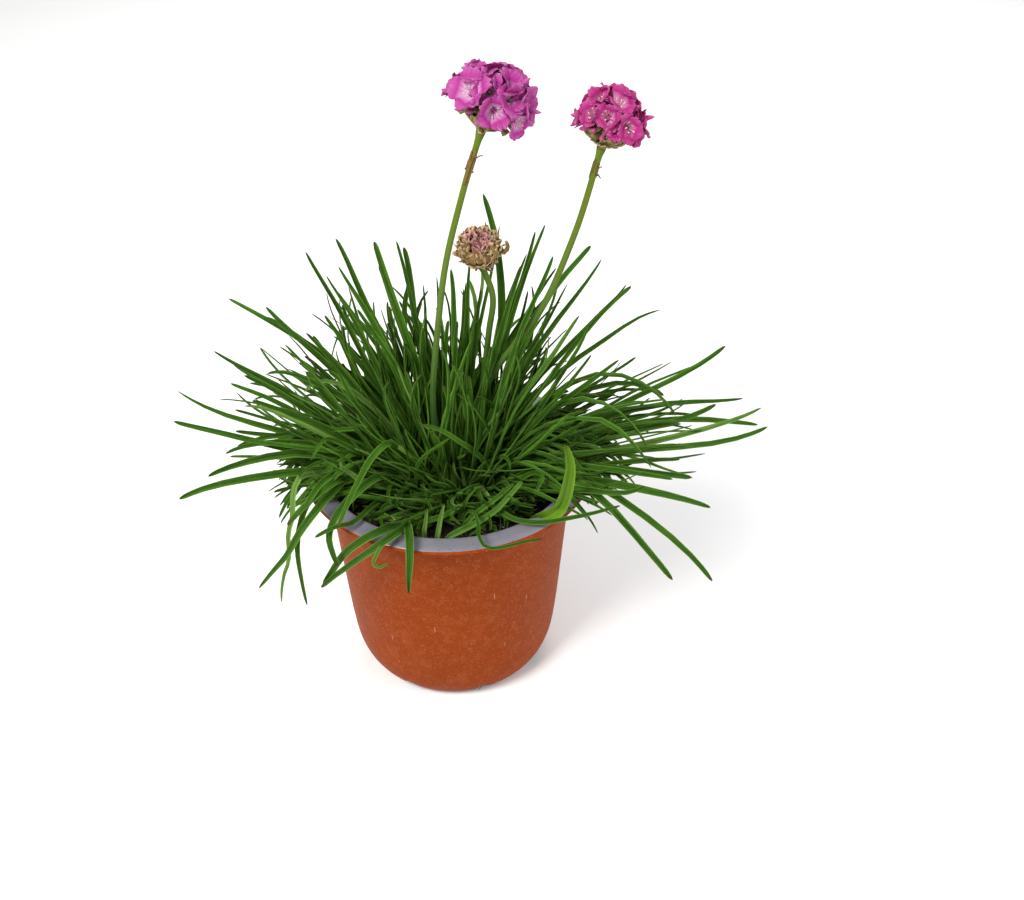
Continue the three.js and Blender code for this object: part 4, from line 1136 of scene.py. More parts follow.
def soil_finish(colour):
    """Damp compost in clumps, paler by crumb, with small pale flecks"""
    finish = Finish("soil")
    place, drawn = finish.place(), finish.attribute("draw")[1]
    finish.start(finish.patches(place, 300, 0.3, 0.7, 8), colour, (0.042, 0.027, 0.018))
    finish.cover(drawn[0], 0.55, (0.065, 0.041, 0.024))
    finish.cover(finish.specks(place, 1400, 0.32, 0.07), 1, (0.16, 0.115, 0.07))
    return finish.done(0.9, finish.patches(place, 1500, 0.2, 0.8), 0.35)


def leaf_finish(name, dark, light, edge):
    """Satin green with fine veins, a painted highlight along the edges, paler young leaves and feet
    and a few brown tips
    """
    finish = Finish(name)
    lay, (across, along, to_tip) = finish.attribute("lay")
    drawn = finish.attribute("draw")[1]
    fibres = finish.fibres(lay, drawn[2], 5.0, 0.05)
    patches = finish.fibres(lay, drawn[0], 0.6, 0.11)
    finish.start(finish.tone(drawn[0], 0.75, patches, 0.35), dark, light)
    finish.cover(fibres, 0.35, edge)
    finish.cover(finish.spread(drawn[0], 0.93, 1.0), 0.6, (0.22, 0.37, 0.09))
    aside = finish.math("ABSOLUTE", across)
    # Painted highlight: the edge colour laid along both edges of each blade
    finish.cover(finish.spread(aside, 0.72, 0.95), 0.6, edge)
    finish.cover(finish.spread(aside, 0.3, 0.0), 0.35, dark)
    finish.cover(finish.spread(along, 14.0, 2.0), 0.45, (0.16, 0.24, 0.06))
    dry = finish.math("MULTIPLY", finish.spread(to_tip, 2.6, 0.4),
                      finish.spread(drawn[1], 0.5, 0.9))
    finish.cover(dry, 1, (0.10, 0.055, 0.03))
    return finish.done(finish.spread(fibres, 0, 1, 0.4, 0.6), fibres, 0.22,
                       Specular_IOR_Level=0.08)


def stalk_finish():
    """Ribbed yellow-green stalk, greyer at its foot and redder under the head"""
    finish = Finish("stalk")
    lay, (_, along, _) = finish.attribute("lay")
    drawn = finish.attribute("draw")[1]
    fibres = finish.fibres(lay, drawn[2], 7.0, 0.03)
    finish.start(finish.spread(along, 45.0, 120.0), (0.065, 0.14, 0.030), (0.125, 0.168, 0.008))
    finish.cover(fibres, 0.5, (0.035, 0.10, 0.006))
    blush = finish.spread(finish.fibres(lay, drawn[0], 1.2, 0.09), 0.7, 1.0)
    finish.cover(blush, 0.4, (0.20, 0.10, 0.03))
    return finish.done(0.42, fibres, 0.12, Specular_IOR_Level=0.14)


def papery_finish(name, dark, light, vein, rim=None):
    """Dry papery skin with fine veins, from dark to light by each copy's draw, with a pale rim
    if one is given"""
    finish = Finish(name)
    lay, (across, _, to_tip) = finish.attribute("lay")
    drawn = finish.attribute("draw")[1]
    fibres = finish.fibres(lay, drawn[2], 5.0, 0.35)
    stains = finish.fibres(lay, drawn[0], 1.0, 0.5)
    finish.start(finish.tone(drawn[0], 0.6, stains, 0.5), dark, light)
    finish.cover(fibres, 0.45, vein)
    if rim:
        aside = finish.spread(finish.math("ABSOLUTE", across), 0.6, 0.95)
        finish.cover(finish.math("MAXIMUM", aside, finish.spread(to_tip, 0.9, 0.2)), 0.7, rim)
    return finish.done(0.75, fibres, 0.2, Specular_IOR_Level=0.2)


def petal_finish(name, colour, deep, pale):
    """Thin satin petal, deeper by copy, with a pale veined throat and fringe"""
    finish = Finish(name)
    lay, (across, along, _) = finish.attribute("lay")
    drawn = finish.attribute("draw")[1]
    fibres = finish.fibres(lay, drawn[2], 4.0, 0.35)
    finish.start(finish.tone(drawn[0], 0.7, fibres, 0.25), colour, deep)
    streaks = put(finish.tree, "Math", {0: finish.spread(fibres, 0.25, 0.75), 1: 0.6, 2: 0.5},
                  operation="MULTIPLY_ADD").outputs[0]
    finish.cover(finish.math("MULTIPLY", finish.spread(along, 0.52, 0.08), streaks), 1, pale)
    finish.cover(finish.math("MULTIPLY", finish.spread(along, 0.6, 1.0),
                             finish.spread(fibres, 0, 1, 0.0, 0.24)), 1, pale)
    finish.cover(finish.spread(finish.math("ABSOLUTE", across), 0.12, 0.0), 0.3, deep)
    return finish.done(0.5, fibres, 0.12, Subsurface_Weight=0.15, Specular_IOR_Level=0.12,
                       Subsurface_Radius=(0.002, 0.0008, 0.001), Subsurface_Scale=1.0)


def plain_grain_finish(name, colour, second, roughness):
    """Small pieces whose colour only drifts a little, such as anthers, perlite and roots"""
    finish = Finish(name)
    place, drawn = finish.place(), finish.attribute("draw")[1]
    grain = finish.patches(place, 1800, 0.3, 0.7)
    finish.start(finish.tone(drawn[0], 0.5, grain, 0.5), colour, second)
    return finish.done(roughness, grain, 0.15)


# Pot
def turned_piece(name, profile, sides):
    """A profile of radii and heights drawn with extrusions and spun about Z"""
    piece = primitive(bpy.ops.mesh.primitive_plane_add, name, size=MM)
    edit_all()
    bpy.ops.mesh.merge(type="CENTER")
    radius, height = profile[0]
    bpy.ops.transform.translate(value=(radius * MM, 0, height * MM))
    for next_radius, next_height in profile[1:]:
        step = ((next_radius - radius) * MM, 0, (next_height - height) * MM)
        bpy.ops.mesh.extrude_vertices_move(TRANSFORM_OT_translate={"value": step})
        radius, height = next_radius, next_height
    select_all()
    bpy.ops.mesh.spin(steps=sides, angle=FULL_TURN, center=(0, 0, 0), axis=(0, 0, 1))
    select_all()
    bpy.ops.mesh.remove_doubles(threshold=1e-6)
    select_all()
    bpy.ops.mesh.normals_make_consistent(inside=False)
    leave_edit()
    return piece


def eased(points):
    """A profile rounded by a spline through its points"""
    flat = np.array([(radius, 0, height) for radius, height in points], float)
    return [(float(radius), float(height))
            for radius, _, height in smooth_line(flat, 4 * (len(points) - 1))]


def arc(middle_radius, middle_height, reach, start, end, steps):
    """Part of a profile round its own middle, between two angles in degrees"""
    turns = [math.radians(start + (end - start) * step / steps) for step in range(steps + 1)]
    return [(middle_radius + reach * math.cos(turn), middle_height + reach * math.sin(turn))
            for turn in turns]


def pot_profile(wall):
    """From the middle of the base out, up the outside, over the lip and down the inside"""
    mouth, lip, top, under = MOUTH_RADIUS, LIP_RADIUS, POT_HEIGHT, POT_HEIGHT - LIP_ROLL
    flange = POT_HEIGHT - LIP_THICKNESS
    rim = [(mouth + 0.3, top - 2.4), (mouth + 1.6, top - 1.5), (lip - 2.2, flange),
           (lip - 1.4, flange - 0.3), (lip - 1.1, under), (lip - 0.5, under - 0.1),
           (lip, under + 0.3)]
    rim += arc(lip - LIP_THICKNESS, flange, LIP_THICKNESS, 0, 90, 4)
    rim += [(lip - 3.2, top - 0.12), (mouth + 2.2, top - 0.2)]
    rim += arc(mouth + 0.9, top - 1.8, 1.6, 90, 170, 3)
    inside = [(radius - wall, height) for radius, height in reversed(eased(FOOT_PROFILE[2:]))]
    base, floor = [(0, 0.4), (24, 0.4), (27, 0)], [(31, wall + 0.3), (0, wall + 0.4)]
    return base + eased(FOOT_PROFILE) + rim + inside + floor


def cut_drains(pot):
    """Round holes through the foot's edge"""
    drains = []
    for hole in range(DRAIN_COUNT):
        angle = math.radians(FIRST_DRAIN + 360 / DRAIN_COUNT * hole)
        spot = (*round_about(angle, DRAIN_CIRCLE * MM), (DRAIN_DEPTH / 2 - 1) * MM)
        drains.append(primitive(bpy.ops.mesh.primitive_cylinder_add, vertices=DRAIN_SIDES,
                                radius=DRAIN_RADIUS * MM, depth=(DRAIN_DEPTH + 2) * MM,
                                location=spot))
    pick(*drains)
    bpy.ops.object.join()
    apply_modifier(pot, "BOOLEAN", operation="DIFFERENCE", solver="EXACT", object=drains[0])
    bpy.data.objects.remove(drains[0])


def is_inside_skin(face):
    """Whether a face of the pot belongs to its grey inner layer, which also covers the lip"""
    centre, normal = face.center / MM, face.normal
    outward = Vector((centre.x, centre.y, 0)).normalized().dot(normal)
    if centre.z > POT_HEIGHT - LIP_ROLL - 0.2:
        return normal.z > 0.6 or (outward < 0.2 and centre.xy.length < LIP_RADIUS - 3)
    return outward < -0.25 or (normal.z > 0.6 and centre.z > 0.5)


class THRIFT_PG_pot(bpy.types.PropertyGroup):
    outside: bpy.props.FloatVectorProperty(
        name="Outside", description="Colour of the pot's outer layer", subtype="COLOR",
        default=(0.215, 0.032, 0.001), min=0, max=1)
    inside: bpy.props.FloatVectorProperty(
        name="Inside", description="Colour of the pot's inner layer and lip", subtype="COLOR",
        default=(0.18, 0.175, 0.205), min=0, max=1)
    wall: bpy.props.FloatProperty(
        name="Wall", description="Thickness of the pot's wall", unit="LENGTH",
        default=POT_WALL * MM, min=0.4 * MM, max=2 * MM)


class THRIFT_OT_pot(bpy.types.Operator):
    """Spin the thin pot with its lip and drain holes"""

    bl_idname = "thrift.pot"
    bl_label = "Pot"

    def execute(self, context):
        settings = context.scene.thrift_pot
        pot = turned_piece("nursery_pot", pot_profile(round(settings.wall / MM, 3)), POT_SIDES)
        cut_drains(pot)
        pick(pot)
        bpy.ops.object.shade_smooth_by_angle(angle=math.radians(POT_CREASE))
        pot.data.materials.clear()
        skins = outside_plastic(settings.outside), inside_plastic(settings.inside)
        finish_modelled(pot, skins, (0.5, 0.5, 0.5))
        for face in pot.data.polygons:
            face.material_index = int(is_inside_skin(face))
        seat(pot, "pot_plastic", "pot")
        return {"FINISHED"}


# Soil
def soil_height(x, y):
    """Height of the crumbly surface in millimetres"""
    place = Vector((x, y, 0))
    coarse = noise.noise(place / 9)
    middle = noise.noise(place / 3.2 + Vector((7, 3, 1))) * 0.65
    fine = abs(noise.noise(place / 1.1 + Vector((1, 9, 4)))) * 0.6
    return SOIL_TOP + coarse + middle + fine - 0.3


def soil_piece():
    """A disc grid with raised crumbs, drawn down into the pot and closed"""
    soil = primitive(bpy.ops.mesh.primitive_grid_add, "soil_ball", x_subdivisions=SOIL_GRID,
                     y_subdivisions=SOIL_GRID, size=2)
    rim, bottom = SOIL_WALL[0][0], SOIL_WALL[-1][1] * MM
    for vertex in soil.data.vertices:
        across, along = vertex.co.xy
        x = across * math.sqrt(1 - along * along / 2) * rim
        y = along * math.sqrt(1 - across * across / 2) * rim
        drop = max(0.0, math.hypot(x, y) - rim + 3) * 0.5
        vertex.co = (x * MM, y * MM, (soil_height(x, y) - drop) * MM)
    bpy.ops.object.mode_set(mode="EDIT")
    bpy.ops.mesh.select_mode(type="EDGE")
    bpy.ops.mesh.select_all(action="DESELECT")
    bpy.ops.mesh.select_non_manifold()
    radius, height = rim, SOIL_TOP - 2
    for next_radius, next_height in SOIL_WALL[1:]:
        step = (0, 0, (next_height - height) * MM)
        bpy.ops.mesh.extrude_region_move(TRANSFORM_OT_translate={"value": step})
        ratio = next_radius / radius
        bpy.ops.transform.resize(value=(ratio, ratio, 1), center_override=(0, 0, 0))
        radius, height = next_radius, next_height
    bpy.ops.mesh.edge_face_add()
    bpy.ops.mesh.select_mode(type="VERT")
    leave_edit()
    for vertex in soil.data.vertices:
        vertex.co.z = max(vertex.co.z, bottom)
    pick(soil)
    edit_all()
    bpy.ops.mesh.normals_make_consistent(inside=False)
    leave_edit()
    soil.data.shade_smooth()
    return soil


def crumbs(settings, soil):
    """Loose crumbs, bark bits and perlite grains on the soil"""
    ball, faces = ball_template()
    heap, draws = Heap(), Draws(CRUMB_SEED)
    for index in range(settings.crumbs + settings.perlite):
        is_perlite = index >= settings.crumbs
        away = (MOUTH_RADIUS - 4) * math.sqrt(draws.between(0.12, 1))
        x, y = round_about(draws.between(0, FULL_TURN), away)
        size = draws.between(0.35, 0.9) if is_perlite else draws.between(0.3, 1.3)
        stretch = [draws.between(*limits) for limits in ((0.7, 1.5), (0.6, 1.1), (0.4, 0.8))]
        spin = Quaternion([draws.about(1) for _ in range(3)] + [1]).normalized()
        wobble = 1 + 0.25 * np.array([draws.about(1) for _ in range(len(ball))])[:, None]
        bent = (ball * wobble * np.array(stretch) * size) @ np.array(spin.to_matrix()).T
        heap.add(bent + (x, y, soil_height(x, y) + size * 0.25), faces, 0, draws.three(),
                 int(is_perlite))
    perlite = plain_grain_finish("perlite", (0.62, 0.60, 0.55), (0.40, 0.36, 0.30), 0.8)
    return heap.piece("soil_crumbs", soil, perlite)


def bend_tube(template, line, directions, radii, ribs=0, rib_depth=0.0, front=(0.0, 1.0, 0.0)):
    """Lays a tube template along a line, ribbed if asked"""
    turn, share, reach = ring_places(template[0])
    index = ring_numbers(share)[1]
    ahead = directions[index]
    side = unit(np.cross(np.broadcast_to(np.array(front), ahead.shape), ahead))
    up = np.cross(ahead, side)
    thick = (radii[index] * reach * (1 + rib_depth * np.cos(turn * ribs)))[:, None]
    bent = line[index] + thick * (side * np.sin(turn)[:, None] + up * np.cos(turn)[:, None])
    return bent, turn, share


def root_paths(draws):
    """Two dry curls on the soil at the left front, bits beside them, and some at a drain hole"""
    paths = [
        [(-26, -30, -9), (-25, -33, -6), (-22, -35, -4.5), (-19.5, -35.5, -5.5), (-17, -36, -6.5)],
        [(-19.5, -35.5, -5.5), (-18.5, -34, -3), (-19.5, -32.5, -1.5), (-20.5, -32, -0.5)],
        [(-15, -38, -9), (-13.5, -39, -7.5), (-11.5, -38.5, -8)],
    ]
    for _ in range(LOOSE_ROOTLETS):
        x, y = round_about(draws.between(3.4, 6.0), draws.between(24, 40))
        steps = [(x, y, soil_height(x, y) - POT_HEIGHT + 0.2)]
        for _ in range(3):
            x, y = x + draws.about(3), y + draws.about(2)
            steps.append((x, y, soil_height(x, y) - POT_HEIGHT + draws.between(0.3, 1.6)))
        paths.append(steps)
    for _ in range(DRAIN_ROOTLETS):
        turn, steps = math.radians(FIRST_DRAIN) + draws.about(0.09), []
        for step in range(4):
            away = 31 + step * draws.between(0.6, 1.2)
            x = away * math.cos(turn + 0.02 * step * draws.about(1))
            height = 3.2 - step * 0.7 - POT_HEIGHT + draws.between(0, 0.8)
            steps.append((x, away * math.sin(turn), height))
        paths.append(steps)
    return paths


def roots():
    """Pale rootlets, the first three thicker than the others"""
    shares = np.linspace(0, 1, 13)
    template = tube_template(6, shares)
    heap, draws = Heap(), Draws(ROOTLET_SEED)
    for index, path in enumerate(root_paths(draws)):
        line, directions = even_line(from_mouth(path), shares, 60)
        radii = (draws.between(0.16, 0.34) if index > 2 else 0.5) * (1 - 0.75 * shares)
        bent, turn, share = bend_tube(template, line, directions, radii, front=(0.3, 0.2, 1.0))
        heap.add(bent, template[1], lay_of(np.cos(turn), share, 10), draws.three())
    root = plain_grain_finish("root", (0.52, 0.40, 0.27), (0.30, 0.19, 0.11), 0.7)
    return heap.piece("rootlets", root)


class THRIFT_PG_soil(bpy.types.PropertyGroup):
    colour: bpy.props.FloatVectorProperty(
        name="Colour", description="Colour of the damp compost", subtype="COLOR",
        default=(0.022, 0.016, 0.012), min=0, max=1)
    crumbs: bpy.props.IntProperty(
        name="Crumbs", description="How many loose crumbs lie on the soil", default=900, min=0)
    perlite: bpy.props.IntProperty(
        name="Perlite", description="How many white grains lie on the soil", default=34, min=0)


class THRIFT_OT_soil(bpy.types.Operator):
    """Raise the crumbly soil and strew crumbs, perlite and rootlets over it"""

    bl_idname = "thrift.soil"
    bl_label = "Soil"

    def execute(self, context):
        settings = context.scene.thrift_soil
        finish = soil_finish(settings.colour)
        seat(crumbs(settings, finish), "soil")
        soil = soil_piece()
        finish_modelled(soil, [finish], DULL_DRAW)
        seat(soil, "soil", "soil")
        seat(roots(), "soil")
        return {"FINISHED"}


# Leaves
def blade_fullness(share, lens, taper):
    """Half width along a blade as a share of its widest: slim foot, straight sides and a blunt
    tip, or a lens that narrows to both ends"""
    if lens:
        blunt = np.sqrt(1 - np.clip((share - 0.96) / 0.04, 0, 1) ** 2)
        return np.sin((0.04 + 0.89 * share) * math.pi) ** 0.8 * np.maximum(blunt, 0.1)
    foot = 0.6 + 0.4 * np.clip(share / 0.25, 0, 1)
    narrow = 1 - taper * np.clip((share - 0.5) / 0.5, 0, 1) ** 1.7
    blunt = np.sqrt(1 - np.clip((share - 0.95) / 0.05, 0, 1) ** 2)
    return foot * narrow * np.maximum(blunt, 0.12)


def add_blade(heap, template, leaf, draws, tone, hooks=0.0, curl=0.35):
    """Lays one blade along its line, turning a little about it on the way. The line is given by
    four controls or by points, a facing turns the top of a blade that way, and hooks is the
    share of blades whose tip bends aside."""
    points, faces = template
    turn, share, _ = ring_places(points)
    corner = np.round(turn / (FULL_TURN / BLADE_TURNS)).astype(int) % BLADE_TURNS
    rings, index = ring_numbers(share)
    if "points" in leaf:
        line, ahead = even_line(leaf["points"], rings)
    else:
        line, ahead = bezier(leaf["controls"], rings)
    turns = leaf["twist"] + curl * rings * draws.about(1)
    if "facing" in leaf:
        facing = np.array(leaf["facing"])
        up = unit(facing - ahead * (facing * ahead).sum(-1, keepdims=True))
        side = np.cross(up, ahead) * np.cos(turns)[:, None] + up * np.sin(turns)[:, None]
    else:
        angle = leaf["angle"] + turns
        side = np.stack([-np.sin(angle), np.cos(angle), np.zeros_like(angle)], -1)
        side = unit(side - ahead * (side * ahead).sum(-1, keepdims=True))
    up = np.cross(ahead, side)
    length = length_of(line)
    for across, most, part in ((side, 3.2, 0.035), (up, 2.2, 0.025)):
        wave = np.sin(rings * math.pi * draws.between(1.5, 3) + draws.between(0, 6))
        line = line + across * (wave * rings * (1 - rings) * min(most, length * part))[:, None]
    if draws.next() < hooks:
        across = side if draws.next() < 0.6 else up
        bend = np.clip((rings - 0.78) / 0.22, 0, 1) ** 2 * draws.between(2, 5)
        line = line + across * bend[:, None]
    fullness = blade_fullness(rings, leaf.get("lens", False), draws.between(0.25, 0.8))[index]
    breadth = leaf["width"] * BLADE_BREADTH
    out = BLADE_SECTION[corner, 0] * fullness * breadth / 2
    rise = BLADE_SECTION[corner, 1] * breadth / 2.4 * (0.35 + 0.65 * fullness)
    bent = line[index] + side[index] * out[:, None] + up[index] * rise[:, None]
    lay = lay_of(BLADE_SECTION[corner, 0], share, length)
    heap.add(bent, faces, lay, (tone, draws.next(), draws.next()))


def add_shaped(heap, template, shapes, draws):
    for width, tone, path in shapes:
        leaf = dict(points=from_mouth(path), width=width, twist=draws.about(0.2),
                    facing=TOWARDS_VIEWER)
        add_blade(heap, template, leaf, draws, tone)


def crown_piece():
    """Low mound of old leaf feet that the leaves rise from"""
    mound = primitive(bpy.ops.mesh.primitive_uv_sphere_add, "crown_mound", segments=64,
                      ring_count=24, radius=1)
    for vertex in mound.data.vertices:
        x, y, z = vertex.co * (CROWN_RADIUS - CROWN_EDGE)
        lump = noise.noise(Vector((x, y, z)) / 1.6) * 0.9
        rise = (CROWN_DOME + CROWN_LIFT if vertex.co.z > 0 else 7) * vertex.co.z
        vertex.co = Vector((x, y, SOIL_TOP + rise + lump)) * MM
    mound.data.shade_smooth()
    return mound


class THRIFT_PG_leaves(bpy.types.PropertyGroup):
    dark: bpy.props.FloatVectorProperty(
        name="Dark", description="Colour of the oldest leaves", subtype="COLOR",
        default=(0.004, 0.037, 0.0008), min=0, max=1)
    light: bpy.props.FloatVectorProperty(
        name="Light", description="Colour of the youngest leaves", subtype="COLOR",
        default=(0.034, 0.128, 0.002), min=0, max=1)
    # Colour of the veins, which is also laid along leaf edges as a painted highlight
    edge: bpy.props.FloatVectorProperty(
        name="Edges", description="Colour of leaf edges and veins", subtype="COLOR",
        default=(0.19, 0.36, 0.055), min=0, max=1)


class THRIFT_OT_leaves(bpy.types.Operator):
    """Lay every leaf of the tuft, the young rosette and the broad leaf"""

    bl_idname = "thrift.leaves"
    bl_label = "Leaves"

    def execute(self, context):
        settings = context.scene.thrift_leaves
        green = leaf_finish("leaf", settings.dark, settings.light, settings.edge)
        # The third colour of a leaf finish is for its veins and for the painted highlight along its
        # edges
        bright = leaf_finish("bright leaf", (0.045, 0.13, 0.004), (0.095, 0.215, 0.006),
                             (0.20, 0.33, 0.03))
        old = papery_finish("old leaf", (0.035, 0.028, 0.014), (0.13, 0.09, 0.045),
                            (0.06, 0.06, 0.02))
        blade = tube_template(BLADE_TURNS, BLADE_SHARES)
        smooth = tube_template(BLADE_TURNS, SMOOTH_SHARES)
        tuft, dry = grow_leaves()
        draws = Draws(BLADE_SEED)
        heap = Heap()
        for leaf in tuft:
            add_blade(heap, blade, leaf, draws, draws.next() ** 1.5, TUFT_HOOKS,
                      0.35 if "facing" in leaf else 0.8)
        add_shaped(heap, smooth, SHAPED_LEAVES, draws)
        seat(heap.piece("tuft_leaves", green, crease=BLADE_CREASE), "leaf", "leaf_tuft")
        heap = Heap()
        for leaf in dry:
            add_blade(heap, blade, leaf, draws, draws.next(), DRY_HOOKS, 2.5)
        seat(heap.piece("dry_leaves", old, crease=BLADE_CREASE), "leaf")
        mound = crown_piece()
        finish_modelled(mound, [old], DULL_DRAW)
        seat(mound, "leaf")
        heap = Heap()
        add_shaped(heap, smooth, YOUNG_SHAPES, draws)
        seat(heap.piece("young_leaves", green, crease=BLADE_CREASE), "leaf", "front_rosette")
        heap = Heap()
        leaf = dict(points=from_mouth(BROAD_LEAF_PATH), width=BROAD_LEAF_WIDTH, twist=0.0,
                    facing=(0.45, -0.8, 0.4), lens=True)
        add_blade(heap, smooth, leaf, draws, 0.6, 0.0, 0.0)
        seat(heap.piece("broad_blade", bright, crease=BLADE_CREASE), "bright_leaf", "broad_leaf")
        return {"FINISHED"}


# Stalks and sheaths
def add_stalk(heap, template, radius, path, draws):
    line, directions = even_line(from_mouth(path), STALK_SHARES)
    length = length_of(line)
    swell = 1.05 - 0.14 * STALK_SHARES + 0.5 * np.clip((STALK_SHARES - 0.965) / 0.035, 0, 1) ** 2
    sway = np.sin(STALK_SHARES * math.pi * 5) * STALK_SHARES * (1 - STALK_SHARES) * 0.8
    line[:, 0] += sway
    bent, turn, share = bend_tube(template, line, directions, radius * swell, 6, 0.05)
    heap.add(bent, template[1], lay_of(turn / math.pi - 1, share, length), draws.three())


def torn_tube(shares, draws):
    """An open tube torn at both ends"""
    tube = ringed_tube(SHEATH_SIDES, shares[1:-1])
    low = [draws.between(0.0, 0.8) for _ in range(SHEATH_SIDES)]
    high = [1 - draws.between(0.0, 0.45) for _ in range(SHEATH_SIDES)]
    for face in tube.data.polygons:
        turn = math.atan2(face.center.x, face.center.y) % FULL_TURN
        height, column = face.center.z + 0.5, int(turn / FULL_TURN * SHEATH_SIDES) % SHEATH_SIDES
        face.select = height < low[column] or height > high[column]
    bpy.ops.object.mode_set(mode="EDIT")
    bpy.ops.mesh.select_mode(type="FACE")
    bpy.ops.mesh.delete(type="FACE")
    bpy.ops.mesh.select_mode(type="VERT")
    leave_edit()
    return take_shape(tube)


def sheath_piece(name, radius, path, sheath, sheet, finish):
    """Papery skin that clings to a stalk, torn at both ends, with slivers that hang off it"""
    low, high, seed, slivers = sheath
    shares, draws = np.linspace(0, 1, 19), Draws(seed)
    template = torn_tube(shares, draws)
    line, directions = even_line(from_mouth(path), low + (high - low) * shares)
    bent, turn, share = bend_tube(template, line, directions,
                                  np.full(len(shares), radius + SHEATH_GAP))
    out = unit(bent - line[np.searchsorted(shares, np.round(share, 5) - 1e-4)])
    loose = np.array([noise.noise(Vector(point) / 1.5) for point in bent])
    edge = np.clip(0.3 - share, 0, 1) + np.clip(share - 0.8, 0, 1)
    bent = bent + out * (np.abs(loose) * (0.12 + 1.1 * edge))[:, None]
    heap, torn = Heap(), Heap()
    heap.add(bent, template[1], lay_of(np.cos(turn), share, 8), draws.three())
    piece = heap.piece(name, finish)
    apply_modifier(piece, "SOLIDIFY", thickness=SHEATH_THICKNESS * MM, offset=1)
    for _ in range(slivers):
        spot = draws.between(0.05, 0.95)
        middle, ahead = even_line(from_mouth(path), [low + (high - low) * spot])
        points = scale_points(sheet, draws.between(1.0, 2.4), draws.between(0.14, 0.3),
                              draws.between(-1.4, 0.8), draws)
        around = turning(draws.between(0, FULL_TURN), "Z")
        lean = turning(draws.between(-1.3, 1.45), "Y")
        stand = (shifting(*middle[0]) @ rising(ahead[0]) @ around
                 @ shifting(radius + SHEATH_GAP) @ lean)
        lay = lay_of(sheet[0][:, 0], sheet[0][:, 1], 4)
        torn.add(moved(points, stand), sheet[1], lay, draws.three())
    pick(piece, torn.piece(name + "_slivers", finish))
    bpy.ops.object.join()
    return piece


class THRIFT_PG_stalks(bpy.types.PropertyGroup):
    thickness: bpy.props.FloatProperty(
        name="Thickness", description="Stalk thickness against the modelled one", default=1.0,
        min=0.7, max=1.1)


class THRIFT_OT_stalks(bpy.types.Operator):
    """Lay the three ribbed flower stalks and the two papery sheaths"""

    bl_idname = "thrift.stalks"
    bl_label = "Stalks"

    def execute(self, context):
        settings = context.scene.thrift_stalks
        template, finish = tube_template(STALK_SIDES, STALK_SHARES), stalk_finish()
        draws = Draws(STALK_SEED)
        for name, (radius, path) in STALKS.items():
            heap = Heap()
            add_stalk(heap, template, radius * settings.thickness, path, draws)
            seat(heap.piece("flower_stalk_" + name, finish), "stalk", "stalk_" + name)
        sheet = sheet_template(3, 6)
        papery = papery_finish("papery sheath", (0.10, 0.035, 0.016), (0.21, 0.095, 0.038),
                               (0.11, 0.15, 0.010))
        for name, sheath in SHEATHS.items():
            piece = sheath_piece("papery_sheath_" + name, *STALKS[name], sheath, sheet, papery)
            seat(piece, "sheath", "sheath_" + name)
        return {"FINISHED"}


# Flower heads
def directions_over(count, lowest):
    """Directions spread evenly over a ball from its top down to a lowest height"""
    for index in range(count):
        height = 0.985 - (0.985 - lowest) * (index + 0.5) / count
        reach = math.sqrt(1 - height * height)
        yield Vector((*round_about(index * GOLDEN_ANGLE, reach), height))


def head_matrix(head):
    x, y, height = head["centre"]
    return shifting(x, y, POT_HEIGHT + height) @ turning(math.radians(head["lean"]), "Y")


def petal_points(sheet, length, breadth, depth, draws):
    """Bends the sheet into one petal that rises out of the throat and spreads: a wedge with a
    rounded, notched and ruffled end"""
    across, along = sheet[:, 0], sheet[:, 1]
    wave = draws.between(0, 6)
    notch = draws.between(0.03, 0.15) * np.exp(-(across / 0.28) ** 2) + 0.16 * np.abs(across) ** 3
    reach = THROAT + (length - THROAT) * along * (1 - notch * along ** 3)
    wide = length * draws.between(*breadth) * (
        0.2 + 0.8 * np.sin(np.minimum(along / 0.72, 1) * math.pi / 2))
    wide = wide * (1 - 0.45 * np.clip((along - 0.6) / 0.4, 0, 1) ** 2)
    rise = -depth * np.clip(1 - along / 0.62, 0, 1) ** 1.5
    curl = draws.between(-0.15, 0.3) * wide * across ** 2 * along
    ruffle = (0.36 * np.sin(across * 3 + wave) + 0.12 * np.sin(across * 6 + 2 * wave)) * along ** 3
    bow = draws.between(-1.1, 0.5) * along ** 3
    return np.stack([reach, wide * across,
                     rise + curl + ruffle + bow - sheet_sides(sheet, PETAL_THICKNESS)], -1)


def add_tube(heap, template, rings, place, lay_length, draws, kind, rib_depth=0.0):
    """A turned tube given by radii and heights along its rings, with five ribs if asked"""
    turn, share, reach = ring_places(template[0])
    steps = np.linspace(0, 1, len(rings))
    radius, height = (np.interp(share, steps, values) for values in zip(*rings))
    radius = radius * reach * (1 + rib_depth * np.cos(turn * PETAL_COUNT))
    points = np.stack([radius * np.sin(turn), radius * np.cos(turn), height], -1)
    lay = lay_of(turn / math.pi * 0.5 - 0.5, share, lay_length)
    heap.add(moved(points, place), template[1], lay, draws.three(), kind)


def add_petals(heap, parts, place, size, head, draws):
    """Five petals round a throat"""
    tone, depth, openness = draws.next(), head["depth"], draws.between(*head["openness"])
    sheet, faces = parts["petal"]
    for petal in range(PETAL_COUNT):
        length = size * draws.between(0.8, 1.12)
        points = petal_points(sheet, length, head["breadth"], depth, draws)
        tilt = turning(-(1 - openness) * 1.1 + draws.between(-0.28, 0.2), "Y")
        hinge = shifting(THROAT, 0, -depth) @ tilt @ shifting(-THROAT, 0, depth)
        roll = turning(draws.about(0.26), "X")
        turn = turning(petal * FULL_TURN / PETAL_COUNT + draws.about(0.1), "Z")
        drawn = (min(1, max(0, tone + draws.about(0.3))), draws.next(), draws.next())
        heap.add(moved(points, place @ turn @ hinge @ roll), faces,
                 lay_of(sheet[:, 0], sheet[:, 1], 1), drawn, PETAL)


